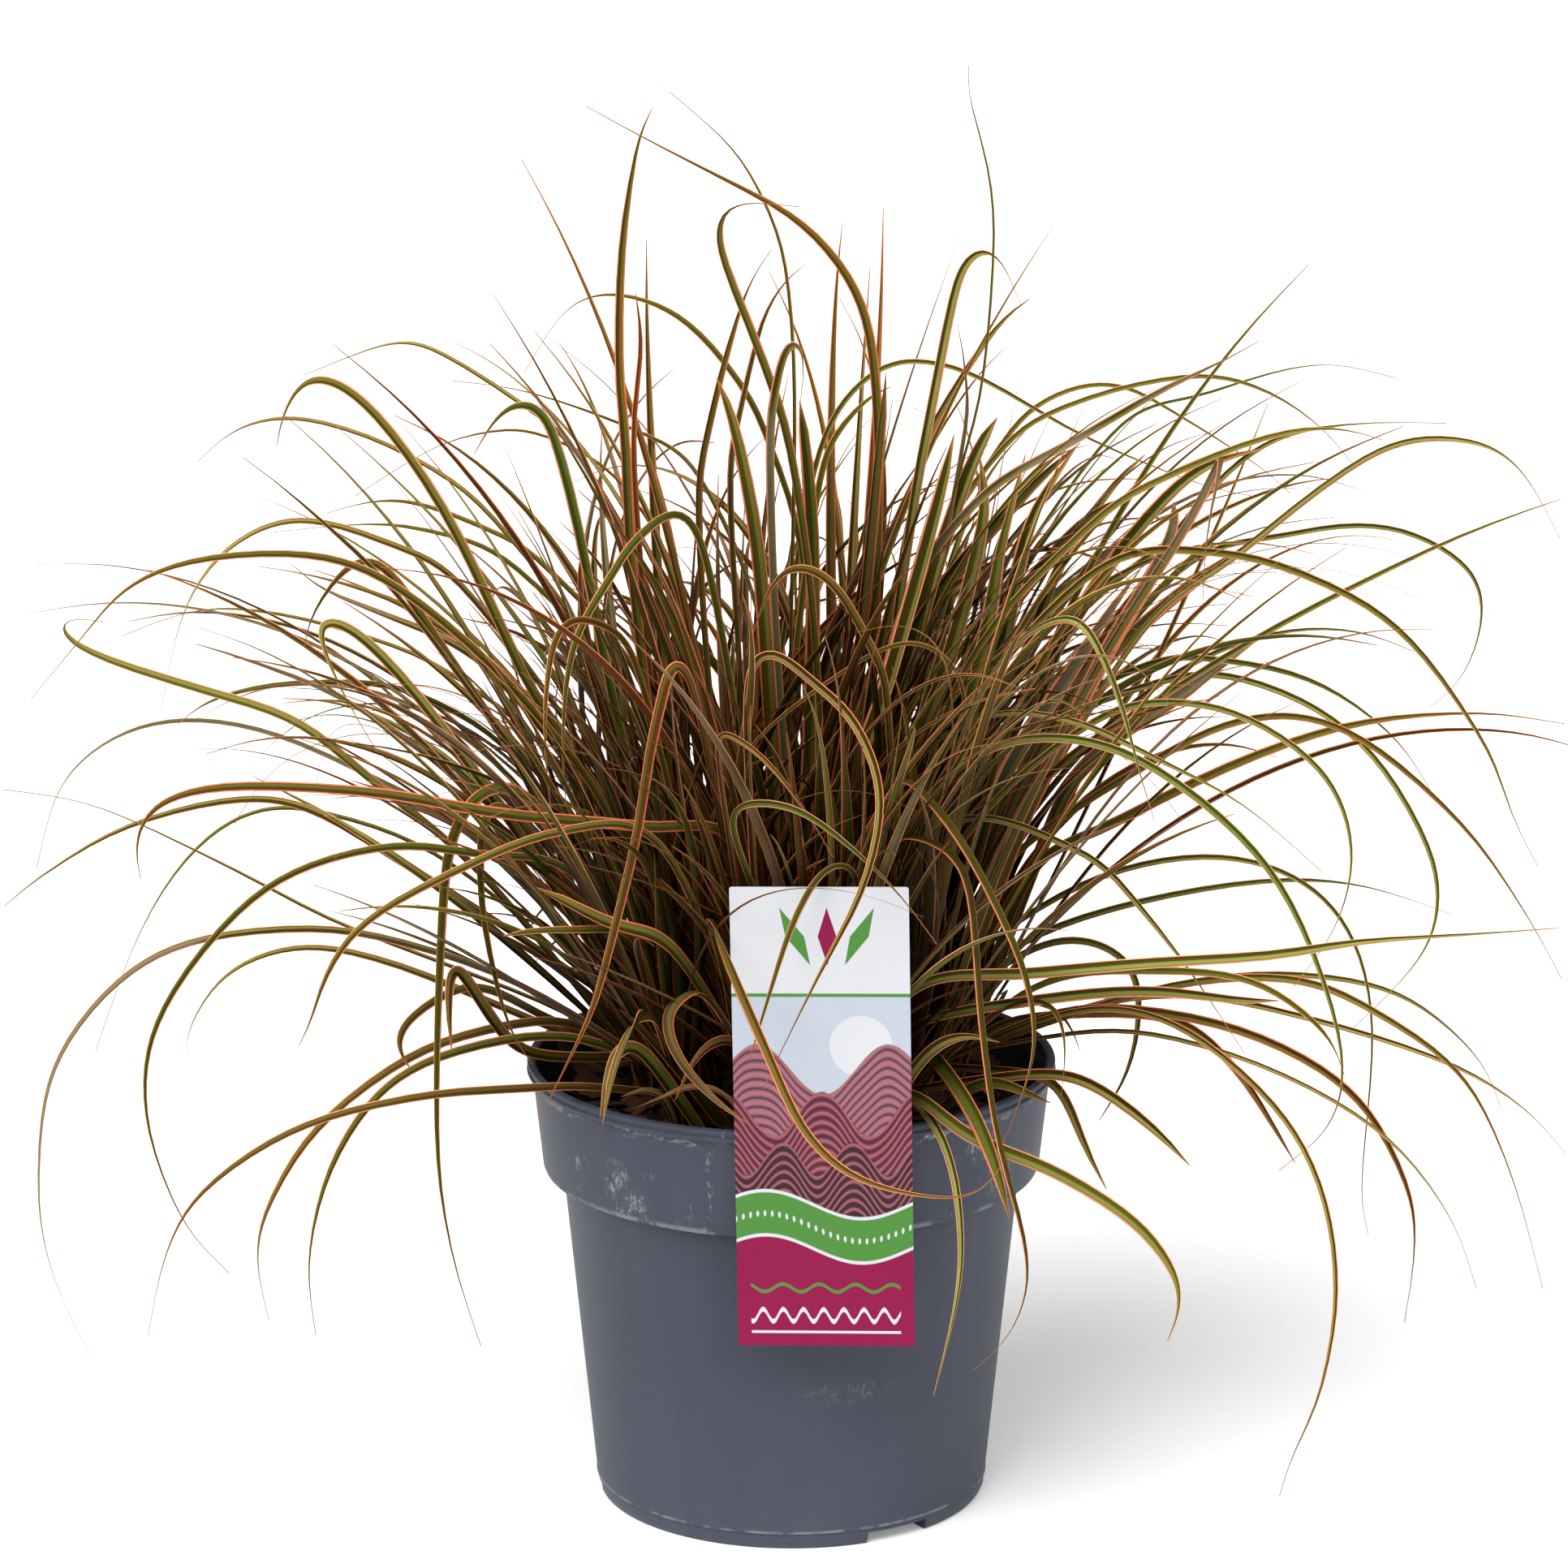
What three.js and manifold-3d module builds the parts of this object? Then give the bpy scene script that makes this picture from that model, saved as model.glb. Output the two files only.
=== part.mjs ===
// A red hook sedge growing in a round nursery pot, with a plant tag hooked over the rim.
// Millimetres, +Z up. The origin is on the ground at the pot's axis, and the front is -Y.
import * as THREE from 'three';
import { mergeVertices } from 'three/addons/utils/BufferGeometryUtils.js';
import Module from 'manifold-3d';

const wasm = await Module();
wasm.setup();

// Clearance between pieces that touch.
const GAP = 0.3;

// Pot: a thin moulded wall with a stepped collar, a rolled lip and a notched foot.
const POT_SIDES = 36;
const POT_HEIGHT = 162;
const LIP_RADIUS = 95;
const LIP_HEIGHT = 4.6;
const COLLAR_TOP_RADIUS = 93.2;
const COLLAR_FOOT_RADIUS = 89.4;
const COLLAR_FOOT_Z = 121.5;
const BODY_TOP_RADIUS = 82.4;
const BODY_FOOT_RADIUS = 70.4;
const FOOT_RADIUS = 69.6;
const FOOT_INNER_RADIUS = 61;
const WALL = 1.5;
const FLOOR_UNDERSIDE = 5;
const FLOOR_TOP = 6.6;
const NOTCH_COUNT = 3;
const NOTCH_TURN = -57;
const NOTCH_WIDTH = 25;
const NOTCH_HEIGHT = 4.4;
const DRAIN_COUNT = 8;
const DRAIN_RADIUS = 5;
const DRAIN_PLACE = 48;

// Compost: its top is lumpy, rises a little to the crown and lies below the lip.
const COMPOST_LEVEL = 144;
const CROWN_RISE = 5;
const LUMP = 1.3;
const CHIP_COUNT = 10;
const CHIP_INNER = 73;
const CHIP_OUTER = 80;

// Crown: the tufts stand in a sunflower pattern, each on a five-sided core in a plain hole.
const TUFT_COUNT = 24;
const CROWN_RADIUS = 60;
const GOLDEN_TURN = 2.399963;
const CORE_SIDES = 5;
const CORE_RADIUS = 5.6;
const CORE_FOOT = 126;
const CORE_SHOULDER = 152;
const CORE_WAIST = 168;
const CORE_WAIST_RADIUS = 4.4;
const CORE_TOP = 182;
const CORE_TIP_RADIUS = 2;
const CORE_LEAN = 0.5;
const ROOT_FAN = 3.4;

// Blades: keeled strips with a three-sided section that taper to a thread.
const BLADE_THICKNESS = 0.9;
const KEEL_SHARE = 0.65;
const ROOT_WIDTH_SHARE = 0.75;
const FULL_WIDTH_AT = 0.3;
const LEAST_WIDTH = 0.8;
const SMOOTHING = 0.05;
const BLADE_CLEARANCE = 0.45;
const PROBE_STEP = 2.5;
const TRACED_SPAN = 50;
const TRACED_LEAST = 5;
const TRACED_TUFTS = 5;
const DEPTH_SHIFTS = 24;
const DEPTH_STEP = 6;
const TRACED_ROOT = [2, 16];
const TRACED_FACING = 0.8;
const TRACED_TWIST = 0.5;
const HANGING_DEPTH = -90;
const HANGING_POWER = 2.2;
const EYE_DISTANCE = 1945;
const EYE_HEIGHT = 747;

// The other blades follow a rule. Ranges are drawn from, angles are in radians, and a blade
// that goes to the front is shorter and droops less, so that it hides neither pot nor tag.
const RULE = {
  perTuft: 7,
  segments: 4,
  steps: 12,
  tries: 30,
  triesAlone: 24,
  height: [0, 22],
  length: [190, 350],
  width: [2.6, 4.6],
  lean: 0.06,
  leanOutwards: 0.5,
  leanSpread: 0.14,
  droop: [0.35, 1.75],
  power: [1.2, 2.4],
  curl: 0.7,
  twist: 0.7,
  tipTwist: 1.2,
  turnSpread: 0.75,
  turnSpreadInside: 1.6,
  shorterInFront: 0.3,
  stifferInFront: 0.45,
  shorterOutside: 0.1,
};

// Plant tag: a stiff printed card with a hook that goes over the lip.
const TAG_WIDTH = 61;
const TAG_HEIGHT = 164.5;
const TAG_THICKNESS = 0.8;
const TAG_TURN = -4;
const TAG_CENTRE = 19;
const TAG_BOTTOM = 86;
const TAG_TILT = -1;
const TAG_CORNER = 2;
const HOOK_CENTRE = 1;
const HOOK_WIDTH = 20;
const HOOK_REACH = 13;

// Colours.
const POT_COLOUR = 0x50545f;
const COMPOST_COLOUR = 0x2b1d15;
const TAG_COLOUR = 0xe9ecef;
const TUFT_COLOURS = [0x6b5a2a, 0x7d5230, 0x5f5f2c, 0x8a5836, 0x56522a, 0x745a34];

// Blades that can be told apart, as seen from the front. Each has a width, the x and y of its
// root, the y of its tip, and points x, z where it crosses the upright plane through the axis.
const TRACED = [
  // Upper left, from the tallest to the lowest.
  [4.4, -30, 12, 20, [-46, 245, -56, 339, -58, 385, -60, 410, -59, 450, -55, 480, -51, 498, -48, 502]],
  [4.3, 15, 10, -10, [26, 250, 30, 345, 30, 395, 26, 429, 16, 449, 0, 465, -24, 478, -51, 492, -71, 503]],
  [1.8, 0, 20, 30, [-2, 250, 0, 330, 1, 405, -2, 447, -8, 467, -19, 487, -35, 502, -42, 508]],
  [4.2, 12, -5, -40, [9, 300, 0, 379, -11, 416, -20, 439, -26, 457, -25, 467, -17, 470, 3, 468]],
  [3.8, -15, 8, 30, [-28, 280, -33, 363, -29, 391, -24, 412, -19, 429, -14, 443, -7, 453]],
  [3.6, -8, 25, 60, [-17, 290, -21, 372, -17, 397, -13, 416, -8, 433, 0, 445, 5, 448]],
  [4.2, 0, 0, -45, [-4, 300, -7, 385, -4, 409, -1, 422, 3, 423, 5, 416, 3, 397]],
  [3.0, 20, 30, 75, [6, 330, -9, 389, -19, 408, -31, 423, -44, 433, -63, 438, -78, 433, -93, 410]],
  [2.6, -35, 25, 40, [-48, 280, -55, 379, -52, 418, -53, 431, -54, 438]],
  [4.4, -35, 0, -30, [-58, 270, -75, 356, -81, 381, -86, 396, -93, 401, -101, 397, -108, 387, -111, 381]],
  [2.0, 5, 40, 90, [-8, 310, -32, 373, -51, 388, -91, 403, -118, 407]],
  [2.2, -15, 30, 60, [-36, 300, -72, 377, -96, 400, -126, 419, -138, 421, -158, 414, -170, 409]],
  [4.6, -40, 0, -20, [-75, 262, -94, 300, -121, 359, -146, 396, -164, 409, -172, 406, -179, 392, -180, 384]],
  [1.5, 0, 45, 110, [-22, 290, -55, 365, -87, 388, -106, 389, -126, 383, -153, 366]],
  [2.6, -30, 20, 50, [-62, 290, -103, 356, -135, 381, -167, 393, -186, 393, -199, 387, -208, 378]],
  [3.2, -20, 30, 80, [-50, 290, -87, 341, -107, 354, -133, 364, -149, 364, -163, 360]],
  [2.8, -40, -5, -40, [-78, 240, -116, 300, -141, 334, -161, 354, -179, 370, -192, 380]],
  [2.4, -20, 40, 100, [-50, 280, -96, 340, -129, 354, -152, 356, -183, 353]],
  [2.8, -30, 5, -10, [-60, 250, -113, 331, -141, 349, -173, 358, -196, 349, -210, 333, -217, 316, -223, 289]],
  [3.6, -30, -10, -50, [
    -60, 240, -92, 290, -131, 328, -162, 344,
    -204, 344, -233, 334, -252, 313, -269, 293,
  ]],
  [3.4, -45, 5, 10, [-60, 240, -95, 295, -133, 325, -166, 337, -188, 341]],
  [3.6, -45, 20, 50, [-75, 270, -113, 309, -140, 322, -166, 333, -176, 342]],
  [4.5, -45, -15, -60, [-85, 225, -127, 287, -152, 316, -166, 323, -167, 317, -159, 296, -147, 274]],
  [3.8, -45, 0, -30, [-90, 255, -126, 316, -142, 340, -151, 345, -161, 336, -171, 320, -172, 312]],
  [2.0, -30, 35, 90, [-80, 265, -120, 302, -154, 317, -187, 325, -211, 325, -236, 316]],
  [3.0, -50, 10, 30, [-80, 225, -120, 265, -160, 294, -200, 310, -210, 313]],
  [4.2, -48, -8, -20, [
    -110, 228, -148, 262, -176, 285, -211, 297,
    -241, 307, -258, 316, -258, 323, -242, 321,
  ]],
  [2.8, -50, 15, 30, [-90, 262, -132, 295, -170, 299, -195, 296, -211, 290, -217, 284]],
  [2.4, -50, 20, 60, [-95, 232, -155, 268, -196, 284, -231, 283, -258, 264, -269, 231]],
  [3.4, -25, -30, -75, [-53, 301, -67, 320, -77, 324, -83, 318, -87, 293, -87, 268, -85, 249]],
  [3.6, -5, -20, -60, [-30, 345, -52, 353, -65, 334, -75, 318, -80, 296, -81, 268, -80, 253]],
  // Lower left.
  [1.8, -58, 15, -20, [-82, 178, -122, 195, -164, 212, -201, 232, -247, 254, -280, 260]],
  [3.4, -52, 0, -20, [-96, 205, -135, 231, -173, 254, -202, 256, -240, 245, -272, 225, -281, 217]],
  [4.6, -8, -50, -95, [-17, 238, -52, 246, -103, 251, -149, 259, -202, 261, -228, 253, -234, 237, -232, 227]],
  [3.4, -20, -45, -110, [-45, 238, -81, 245, -122, 229, -154, 210, -168, 189, -173, 171, -177, 165]],
  [3.4, -30, -40, -90, [
    -74, 226, -111, 236, -146, 239, -189, 223,
    -225, 180, -233, 142, -221, 100, -204, 79,
  ]],
  [5.0, -45, -30, -85, [-66, 215, -91, 254, -106, 262, -121, 243, -126, 198, -128, 128, -123, 86, -113, 51]],
  [4.0, -50, -18, -65, [-85, 230, -103, 256, -110, 249, -111, 218, -105, 184, -99, 166, -93, 158]],
  [3.2, -58, -5, -30, [-89, 184, -129, 201, -173, 209, -227, 199, -263, 161, -272, 113, -268, 78, -255, 47]],
  [3.2, -56, 15, 40, [-70, 165, -100, 178, -143, 196, -175, 202, -202, 192, -217, 170, -217, 160]],
  [3.6, -48, -35, -95, [-75, 150, -97, 149, -134, 146, -178, 134, -213, 110, -227, 86, -234, 55]],
  [4.0, -58, 0, -25, [-78, 174, -101, 173, -135, 162, -170, 135, -189, 105, -194, 85, -190, 61]],
  [4.0, -56, -20, -45, [-75, 168, -109, 166, -143, 152, -165, 122, -175, 85, -173, 55]],
  [2.0, -52, 22, 70, [-120, 232, -168, 252, -194, 251, -216, 234, -234, 205, -250, 163]],
  [2.8, -56, 8, -10, [-80, 172, -112, 188, -131, 180, -142, 170, -142, 163, -136, 155]],
  [4.0, -54, -12, -45, [-95, 162, -109, 177, -119, 194, -122, 196, -123, 178, -122, 163]],
  [3.8, -15, -48, -95, [-43, 202, -63, 209, -83, 220, -91, 224]],
  [2.2, -30, -42, -95, [-56, 205, -69, 208, -95, 208, -103, 206]],
  [4.6, -25, -50, -105, [-36, 300, -48, 285, -55, 245, -62, 215, -71, 180, -80, 160, -91, 137]],
  [3.2, -40, -45, -112, [-50, 178, -59, 168, -64, 153, -66, 145, -68, 135]],
  [3.4, -20, -55, -112, [-30, 185, -43, 182, -46, 177, -42, 162, -28, 145, -16, 136]],
  // Over the tag.
  [4.2, -8, -52, -175, [-23, 189, -29, 214, -19, 188, -7, 159, 4, 134, 20, 117, 43, 109, 67, 108, 76, 120]],
  [3.6, 5, -45, -125, [-15, 301, 11, 296, 24, 282, 32, 257, 26, 225, 12, 196, 1, 173, -10, 149]],
  [2.8, 20, -50, -122, [24, 225, 17, 234, 10, 230, 0, 210, -8, 184, -15, 160]],
  [2.4, -22, -45, -100, [-26, 272, -21, 279, -12, 274, -1, 261, 9, 246, 15, 235]],
  [3.0, -15, -50, -118, [-21, 245, -9, 255, 4, 252, 22, 238, 39, 221, 52, 203]],
  [1.8, 35, -35, -70, [61, 280, 55, 308, 38, 314, 11, 298, -12, 279, -26, 257, -29, 242, -27, 233]],
  [3.8, 28, -25, -80, [34, 289, 28, 311, 15, 335, 3, 342, -5, 339, -12, 322, -16, 309]],
  // Over the right of the pot.
  [4.6, 32, -40, -112, [37, 259, 49, 257, 62, 240, 75, 215, 85, 190, 88, 165, 82, 142, 75, 125]],
  [4.4, 25, -48, -125, [
    36, 237, 48, 242, 59, 237, 65, 220, 69, 173,
    75, 131, 85, 92, 86, 72, 79, 54, 67, 42,
  ]],
  [4.6, 28, -56, -118, [49, 163, 61, 149, 70, 132, 76, 114, 79, 100]],
  [3.2, 22, -58, -128, [33, 148, 41, 148, 49, 140, 55, 130, 60, 112, 62, 85, 59, 62, 52, 32]],
  [5.4, 36, -56, -125, [43, 148, 51, 142, 66, 130, 95, 118, 123, 100, 136, 85, 142, 72, 140, 59, 137, 53]],
  [3.4, 50, -30, -70, [93, 155, 113, 148, 133, 132, 144, 120]],
  [2.6, 52, -22, -75, [90, 154, 99, 145, 106, 127, 114, 111]],
  // Lower right.
  [2.6, 50, -15, -135, [100, 178, 136, 174, 172, 145, 191, 113, 198, 73, 193, 33, 183, 8, 179, -7]],
  [4.8, 20, -50, -120, [43, 187, 84, 192, 126, 196, 172, 199, 203, 204, 248, 207, 274, 209]],
  [4.2, 36, -44, -95, [43, 173, 84, 182, 126, 186, 162, 182, 175, 182]],
  [3.2, 42, -38, -80, [88, 188, 135, 193, 166, 189, 188, 174, 196, 164, 199, 154]],
  [4.0, 55, -8, -40, [96, 178, 136, 177, 173, 166, 204, 145, 223, 111, 226, 87, 223, 60]],
  [3.6, 50, 5, -15, [100, 177, 142, 189, 181, 190, 209, 178, 241, 154, 260, 117, 273, 73]],
  [2.8, 56, 6, 30, [100, 178, 142, 184, 191, 174, 238, 158, 265, 141, 280, 124]],
  [3.0, 46, 24, 60, [80, 172, 134, 187, 176, 192, 217, 185, 246, 162, 256, 141]],
  [2.2, 58, -2, -60, [112, 171, 149, 165, 186, 150, 217, 129, 239, 100, 249, 73]],
  [3.4, 52, 15, 10, [80, 175, 134, 176, 158, 159, 174, 135, 182, 121]],
  [3.0, 46, 16, 70, [80, 198, 103, 205, 121, 196, 125, 178, 121, 155, 111, 137]],
  [3.0, 10, -20, -65, [50, 245, 102, 238, 126, 215, 145, 190, 163, 162]],
  [2.8, 42, 5, 20, [60, 195, 108, 227, 156, 235, 192, 218, 208, 178, 206, 111, 209, 94]],
  [3.0, 40, 30, 70, [80, 202, 118, 217, 166, 226, 202, 225, 236, 214]],
  // Upper right.
  [4.5, 12, 5, 5, [27, 250, 42, 359, 49, 399, 55, 431, 60, 450, 68, 455, 73, 450, 80, 433]],
  [3.4, 15, 25, 50, [27, 270, 45, 377, 54, 399, 69, 423, 79, 434, 83, 436]],
  [1.5, 22, 10, 0, [37, 270, 56, 363, 66, 403, 70, 450, 69, 476, 63, 500, 60, 510, 61, 517]],
  [2.6, 28, 15, 10, [45, 285, 61, 388, 62, 399, 60, 418, 58, 427]],
  [3.6, -5, 20, 60, [0, 290, 11, 375, 20, 393, 30, 404, 35, 405]],
  [2.8, -10, 35, 90, [0, 330, 12, 388, 30, 411, 46, 414, 66, 408, 103, 387, 144, 370, 162, 366]],
  [3.8, 15, 0, -30, [35, 310, 64, 363, 100, 386, 130, 404, 149, 413, 163, 421]],
  [2.4, 20, 35, 80, [40, 320, 72, 381, 101, 400, 142, 409, 167, 403, 186, 390, 197, 377]],
  [2.4, 15, 42, 110, [35, 310, 72, 382, 90, 401, 113, 406, 135, 395, 165, 376, 175, 367]],
  [1.6, 28, 38, 90, [55, 290, 110, 386, 144, 402, 183, 413, 211, 408]],
  [3.0, 35, 15, 30, [72, 250, 128, 342, 149, 371, 170, 387, 199, 392, 229, 392]],
  [3.2, 20, -10, -50, [55, 290, 104, 355, 138, 376, 173, 389, 194, 390, 207, 386]],
  [4.8, 35, -12, -70, [75, 235, 107, 303, 138, 355, 149, 378, 152, 385, 150, 374, 146, 352, 145, 327]],
  [3.8, 38, 0, -10, [66, 215, 121, 315, 155, 344, 189, 372, 214, 386, 242, 385, 257, 374, 270, 351]],
  [3.4, 40, 8, 10, [58, 215, 92, 265, 132, 294, 173, 320, 227, 348, 261, 362, 270, 365]],
  [2.6, 30, 30, 60, [60, 230, 131, 334, 174, 352, 210, 355, 238, 341, 244, 323, 237, 300, 226, 290]],
  [3.4, 25, -25, -60, [50, 265, 105, 338, 150, 346, 190, 334, 219, 314, 247, 275, 256, 251, 266, 232]],
  [4.4, 50, 12, 20, [85, 229, 112, 246, 159, 270, 200, 284, 243, 288, 274, 284]],
  [3.0, 38, -20, -60, [60, 240, 107, 285, 137, 292, 164, 285, 190, 265, 200, 238, 195, 210, 180, 187]],
  [3.2, 46, 2, -40, [70, 225, 129, 271, 167, 287, 200, 280, 238, 248, 262, 215, 276, 190]],
  [3.0, 40, 12, 20, [75, 270, 124, 305, 153, 307, 186, 299, 214, 279, 228, 258]],
  [3.0, 42, 22, 40, [70, 265, 132, 300, 170, 297, 204, 275, 228, 236, 230, 209, 220, 191, 201, 171]],
  [3.8, 22, -38, -95, [40, 240, 65, 273, 100, 279, 135, 264, 173, 227, 196, 172, 196, 138, 176, 118]],
  [3.0, 10, -35, -75, [35, 255, 64, 286, 98, 286, 130, 271, 160, 255, 189, 230]],
  [3.4, 30, -30, -85, [64, 290, 96, 324, 108, 312, 117, 290, 123, 268, 129, 249]],
];

// A repeatable draw between 0 and 1.
class Draw {
  constructor(seed) {
    this.state = seed;
  }

  next() {
    this.state = (this.state * 1664525 + 1013904223) % 4294967296;
    return this.state / 4294967296;
  }

  between(low, high) {
    return low + (high - low) * this.next();
  }
}

const add = (a, b, k = 1) => [a[0] + b[0] * k, a[1] + b[1] * k, a[2] + b[2] * k];
const dot = (a, b) => a[0] * b[0] + a[1] * b[1] + a[2] * b[2];
const cross = (a, b) => [
  a[1] * b[2] - a[2] * b[1],
  a[2] * b[0] - a[0] * b[2],
  a[0] * b[1] - a[1] * b[0],
];
const unit = (a) => {
  const length = Math.sqrt(dot(a, a));
  return [a[0] / length, a[1] / length, a[2] / length];
};

// A solid from a closed surface.
function solid(geometry) {
  const bare = geometry.clone();
  bare.deleteAttribute('normal');
  bare.deleteAttribute('uv');
  const merged = mergeVertices(bare, 1e-4);
  return new wasm.Manifold(new wasm.Mesh({
    numProp: 3,
    vertProperties: new Float32Array(merged.attributes.position.array),
    triVerts: new Uint32Array(merged.index.array),
  }));
}

// The surface of a solid.
function surface(body) {
  const mesh = body.getMesh();
  const geometry = new THREE.BufferGeometry();
  geometry.setAttribute('position', new THREE.BufferAttribute(mesh.vertProperties.slice(), 3));
  geometry.setIndex(new THREE.BufferAttribute(mesh.triVerts.slice(), 1));
  geometry.computeVertexNormals();
  return geometry;
}

// A solid with rings of the same number of points, closed by flat fans at both ends.
// A last ring of one point makes a tip. The sides marked as turned have the other diagonal.
function loft(rings, turned = []) {
  const positions = rings.flat(2);
  const index = [];
  const n = rings[0].length;
  for (let i = 0; i < rings.length - 1; i += 1) {
    const low = i * n;
    const high = low + n;
    for (let j = 0; j < n; j += 1) {
      const k = (j + 1) % n;
      if (rings[i + 1].length === 1) {
        index.push(low + j, low + k, high);
      } else if (turned[j]) {
        index.push(low + j, low + k, high + j, low + k, high + k, high + j);
      } else {
        index.push(low + j, low + k, high + k, low + j, high + k, high + j);
      }
    }
  }
  const last = (rings.length - 1) * n;
  for (let j = 1; j < n - 1; j += 1) {
    index.push(0, j + 1, j);
    if (rings[rings.length - 1].length > 1) {
      index.push(last, last + j, last + j + 1);
    }
  }
  const geometry = new THREE.BufferGeometry();
  geometry.setAttribute('position', new THREE.Float32BufferAttribute(positions, 3));
  geometry.setIndex(index);
  return geometry;
}

// A ring of points at one height.
function ring(sides, radius, x, y, z) {
  return Array.from({ length: sides }, (_, i) => {
    const turn = (2 * Math.PI * i) / sides;
    return [x + radius * Math.cos(turn), y + radius * Math.sin(turn), z];
  });
}

// A lathe about +Z from a profile of radius, height pairs.
function turned(profile) {
  const points = profile.map(([r, z]) => new THREE.Vector2(r, z));
  return new THREE.LatheGeometry(points, POT_SIDES).rotateX(Math.PI / 2);
}

// The inner wall of the pot from its floor up to the lip.
const INNER_WALL = [
  [BODY_FOOT_RADIUS - WALL, FLOOR_TOP],
  [BODY_TOP_RADIUS - WALL, COLLAR_FOOT_Z + WALL],
  [COLLAR_FOOT_RADIUS - WALL, COLLAR_FOOT_Z + 2 * WALL],
  [COLLAR_TOP_RADIUS - WALL, POT_HEIGHT - 4],
];

function makePot() {
  let pot = solid(turned([
    [0, FLOOR_UNDERSIDE],
    [FOOT_INNER_RADIUS - 1, FLOOR_UNDERSIDE],
    [FOOT_INNER_RADIUS, 0],
    [FOOT_RADIUS, 0],
    [BODY_FOOT_RADIUS, 2],
    [BODY_TOP_RADIUS, COLLAR_FOOT_Z],
    [COLLAR_FOOT_RADIUS - 1, COLLAR_FOOT_Z + 0.4],
    [COLLAR_FOOT_RADIUS, COLLAR_FOOT_Z + 1.4],
    [COLLAR_TOP_RADIUS, POT_HEIGHT - LIP_HEIGHT],
    [LIP_RADIUS, POT_HEIGHT - LIP_HEIGHT + 1],
    [LIP_RADIUS, POT_HEIGHT - 0.8],
    [LIP_RADIUS - 0.8, POT_HEIGHT],
    [COLLAR_TOP_RADIUS - 0.4, POT_HEIGHT],
    [COLLAR_TOP_RADIUS - WALL, POT_HEIGHT - 1.4],
    ...INNER_WALL.slice().reverse(),
    [0, FLOOR_TOP],
  ]));
  for (let i = 0; i < NOTCH_COUNT; i += 1) {
    const notch = new THREE.BoxGeometry(30, NOTCH_WIDTH, 2 * NOTCH_HEIGHT);
    notch.translate(FOOT_RADIUS, 0, 0);
    notch.rotateZ(THREE.MathUtils.degToRad(NOTCH_TURN + (i * 360) / NOTCH_COUNT));
    pot = pot.subtract(solid(notch));
  }
  for (let i = 0; i < DRAIN_COUNT; i += 1) {
    const hole = new THREE.CylinderGeometry(DRAIN_RADIUS, DRAIN_RADIUS, 20, 10).rotateX(Math.PI / 2);
    const turn = (2 * Math.PI * (i + 0.5)) / DRAIN_COUNT;
    hole.translate(DRAIN_PLACE * Math.cos(turn), DRAIN_PLACE * Math.sin(turn), 0);
    pot = pot.subtract(solid(hole));
  }
  return pot;
}

// Height of the compost at a point.
function compostHeight(x, y) {
  const r = Math.sqrt(x * x + y * y);
  const lumps = Math.sin(x / 6.1 + 1) * Math.cos(y / 7.3) + Math.sin(y / 4.9 + x / 11);
  return COMPOST_LEVEL + CROWN_RISE * (1 - r / COLLAR_TOP_RADIUS) + LUMP * lumps;
}

function makeCompost(tufts) {
  const wall = INNER_WALL.map(([r, z]) => [r - GAP, z + GAP]);
  const edge = wall.pop();
  const below = wall[wall.length - 1];
  const share = (COMPOST_LEVEL - below[1]) / (edge[1] - below[1]);
  const brim = below[0] + (edge[0] - below[0]) * share;
  const top = [brim, 72, 46, 22].map((r) => [r, COMPOST_LEVEL]);
  const geometry = turned([[0, FLOOR_TOP + GAP], ...wall, ...top, [0, COMPOST_LEVEL]]);
  const place = geometry.attributes.position;
  for (let i = 0; i < place.count; i += 1) {
    const x = place.getX(i);
    const y = place.getY(i);
    if (place.getZ(i) > COMPOST_LEVEL - 1 && Math.sqrt(x * x + y * y) < brim - 1) {
      place.setZ(i, compostHeight(x, y));
    }
  }
  let compost = solid(geometry);
  const draw = new Draw(71);
  for (let i = 0; i < CHIP_COUNT; i += 1) {
    const turn = (2 * Math.PI * (i + draw.next() * 0.7)) / CHIP_COUNT;
    const reach = draw.between(CHIP_INNER, CHIP_OUTER);
    const [x, y] = [reach * Math.cos(turn), reach * Math.sin(turn)];
    const chip = new THREE.BoxGeometry(draw.between(9, 15), draw.between(4, 8), 3);
    chip.rotateX(draw.between(-0.3, 0.3)).rotateY(draw.between(-0.3, 0.3));
    chip.rotateZ(draw.between(0, Math.PI)).translate(x, y, compostHeight(x, y) + 0.6);
    compost = compost.add(solid(chip));
  }
  for (const tuft of tufts) {
    const radius = CORE_RADIUS + GAP * 1.2;
    compost = compost.subtract(solid(loft([
      ring(CORE_SIDES, radius, tuft.x, tuft.y, CORE_FOOT - GAP),
      ring(CORE_SIDES, radius, tuft.x, tuft.y, CORE_TOP),
    ])));
  }
  return compost;
}

// Where the tufts stand, and how far each core leans outwards.
function layTufts() {
  return Array.from({ length: TUFT_COUNT }, (_, i) => {
    const reach = Math.sqrt((i + 0.5) / TUFT_COUNT);
    const turn = i * GOLDEN_TURN;
    return {
      index: i,
      x: CROWN_RADIUS * reach * Math.cos(turn),
      y: CROWN_RADIUS * reach * Math.sin(turn),
      reach,
      turn,
    };
  });
}

// A point of a tuft's core at a height above its shoulder.
function corePoint(tuft, z) {
  const out = Math.max(0, z - CORE_SHOULDER) * CORE_LEAN * tuft.reach;
  return [tuft.x + out * Math.cos(tuft.turn), tuft.y + out * Math.sin(tuft.turn), z];
}

// Where a blade leaves its core: a little off the core's axis, towards where the blade goes.
function rootPoint(tuft, z, turn) {
  const fan = ROOT_FAN * (1 - (z - CORE_SHOULDER) / (CORE_TOP - CORE_SHOULDER));
  return add(corePoint(tuft, z), [Math.cos(turn), Math.sin(turn), 0], fan);
}

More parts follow.
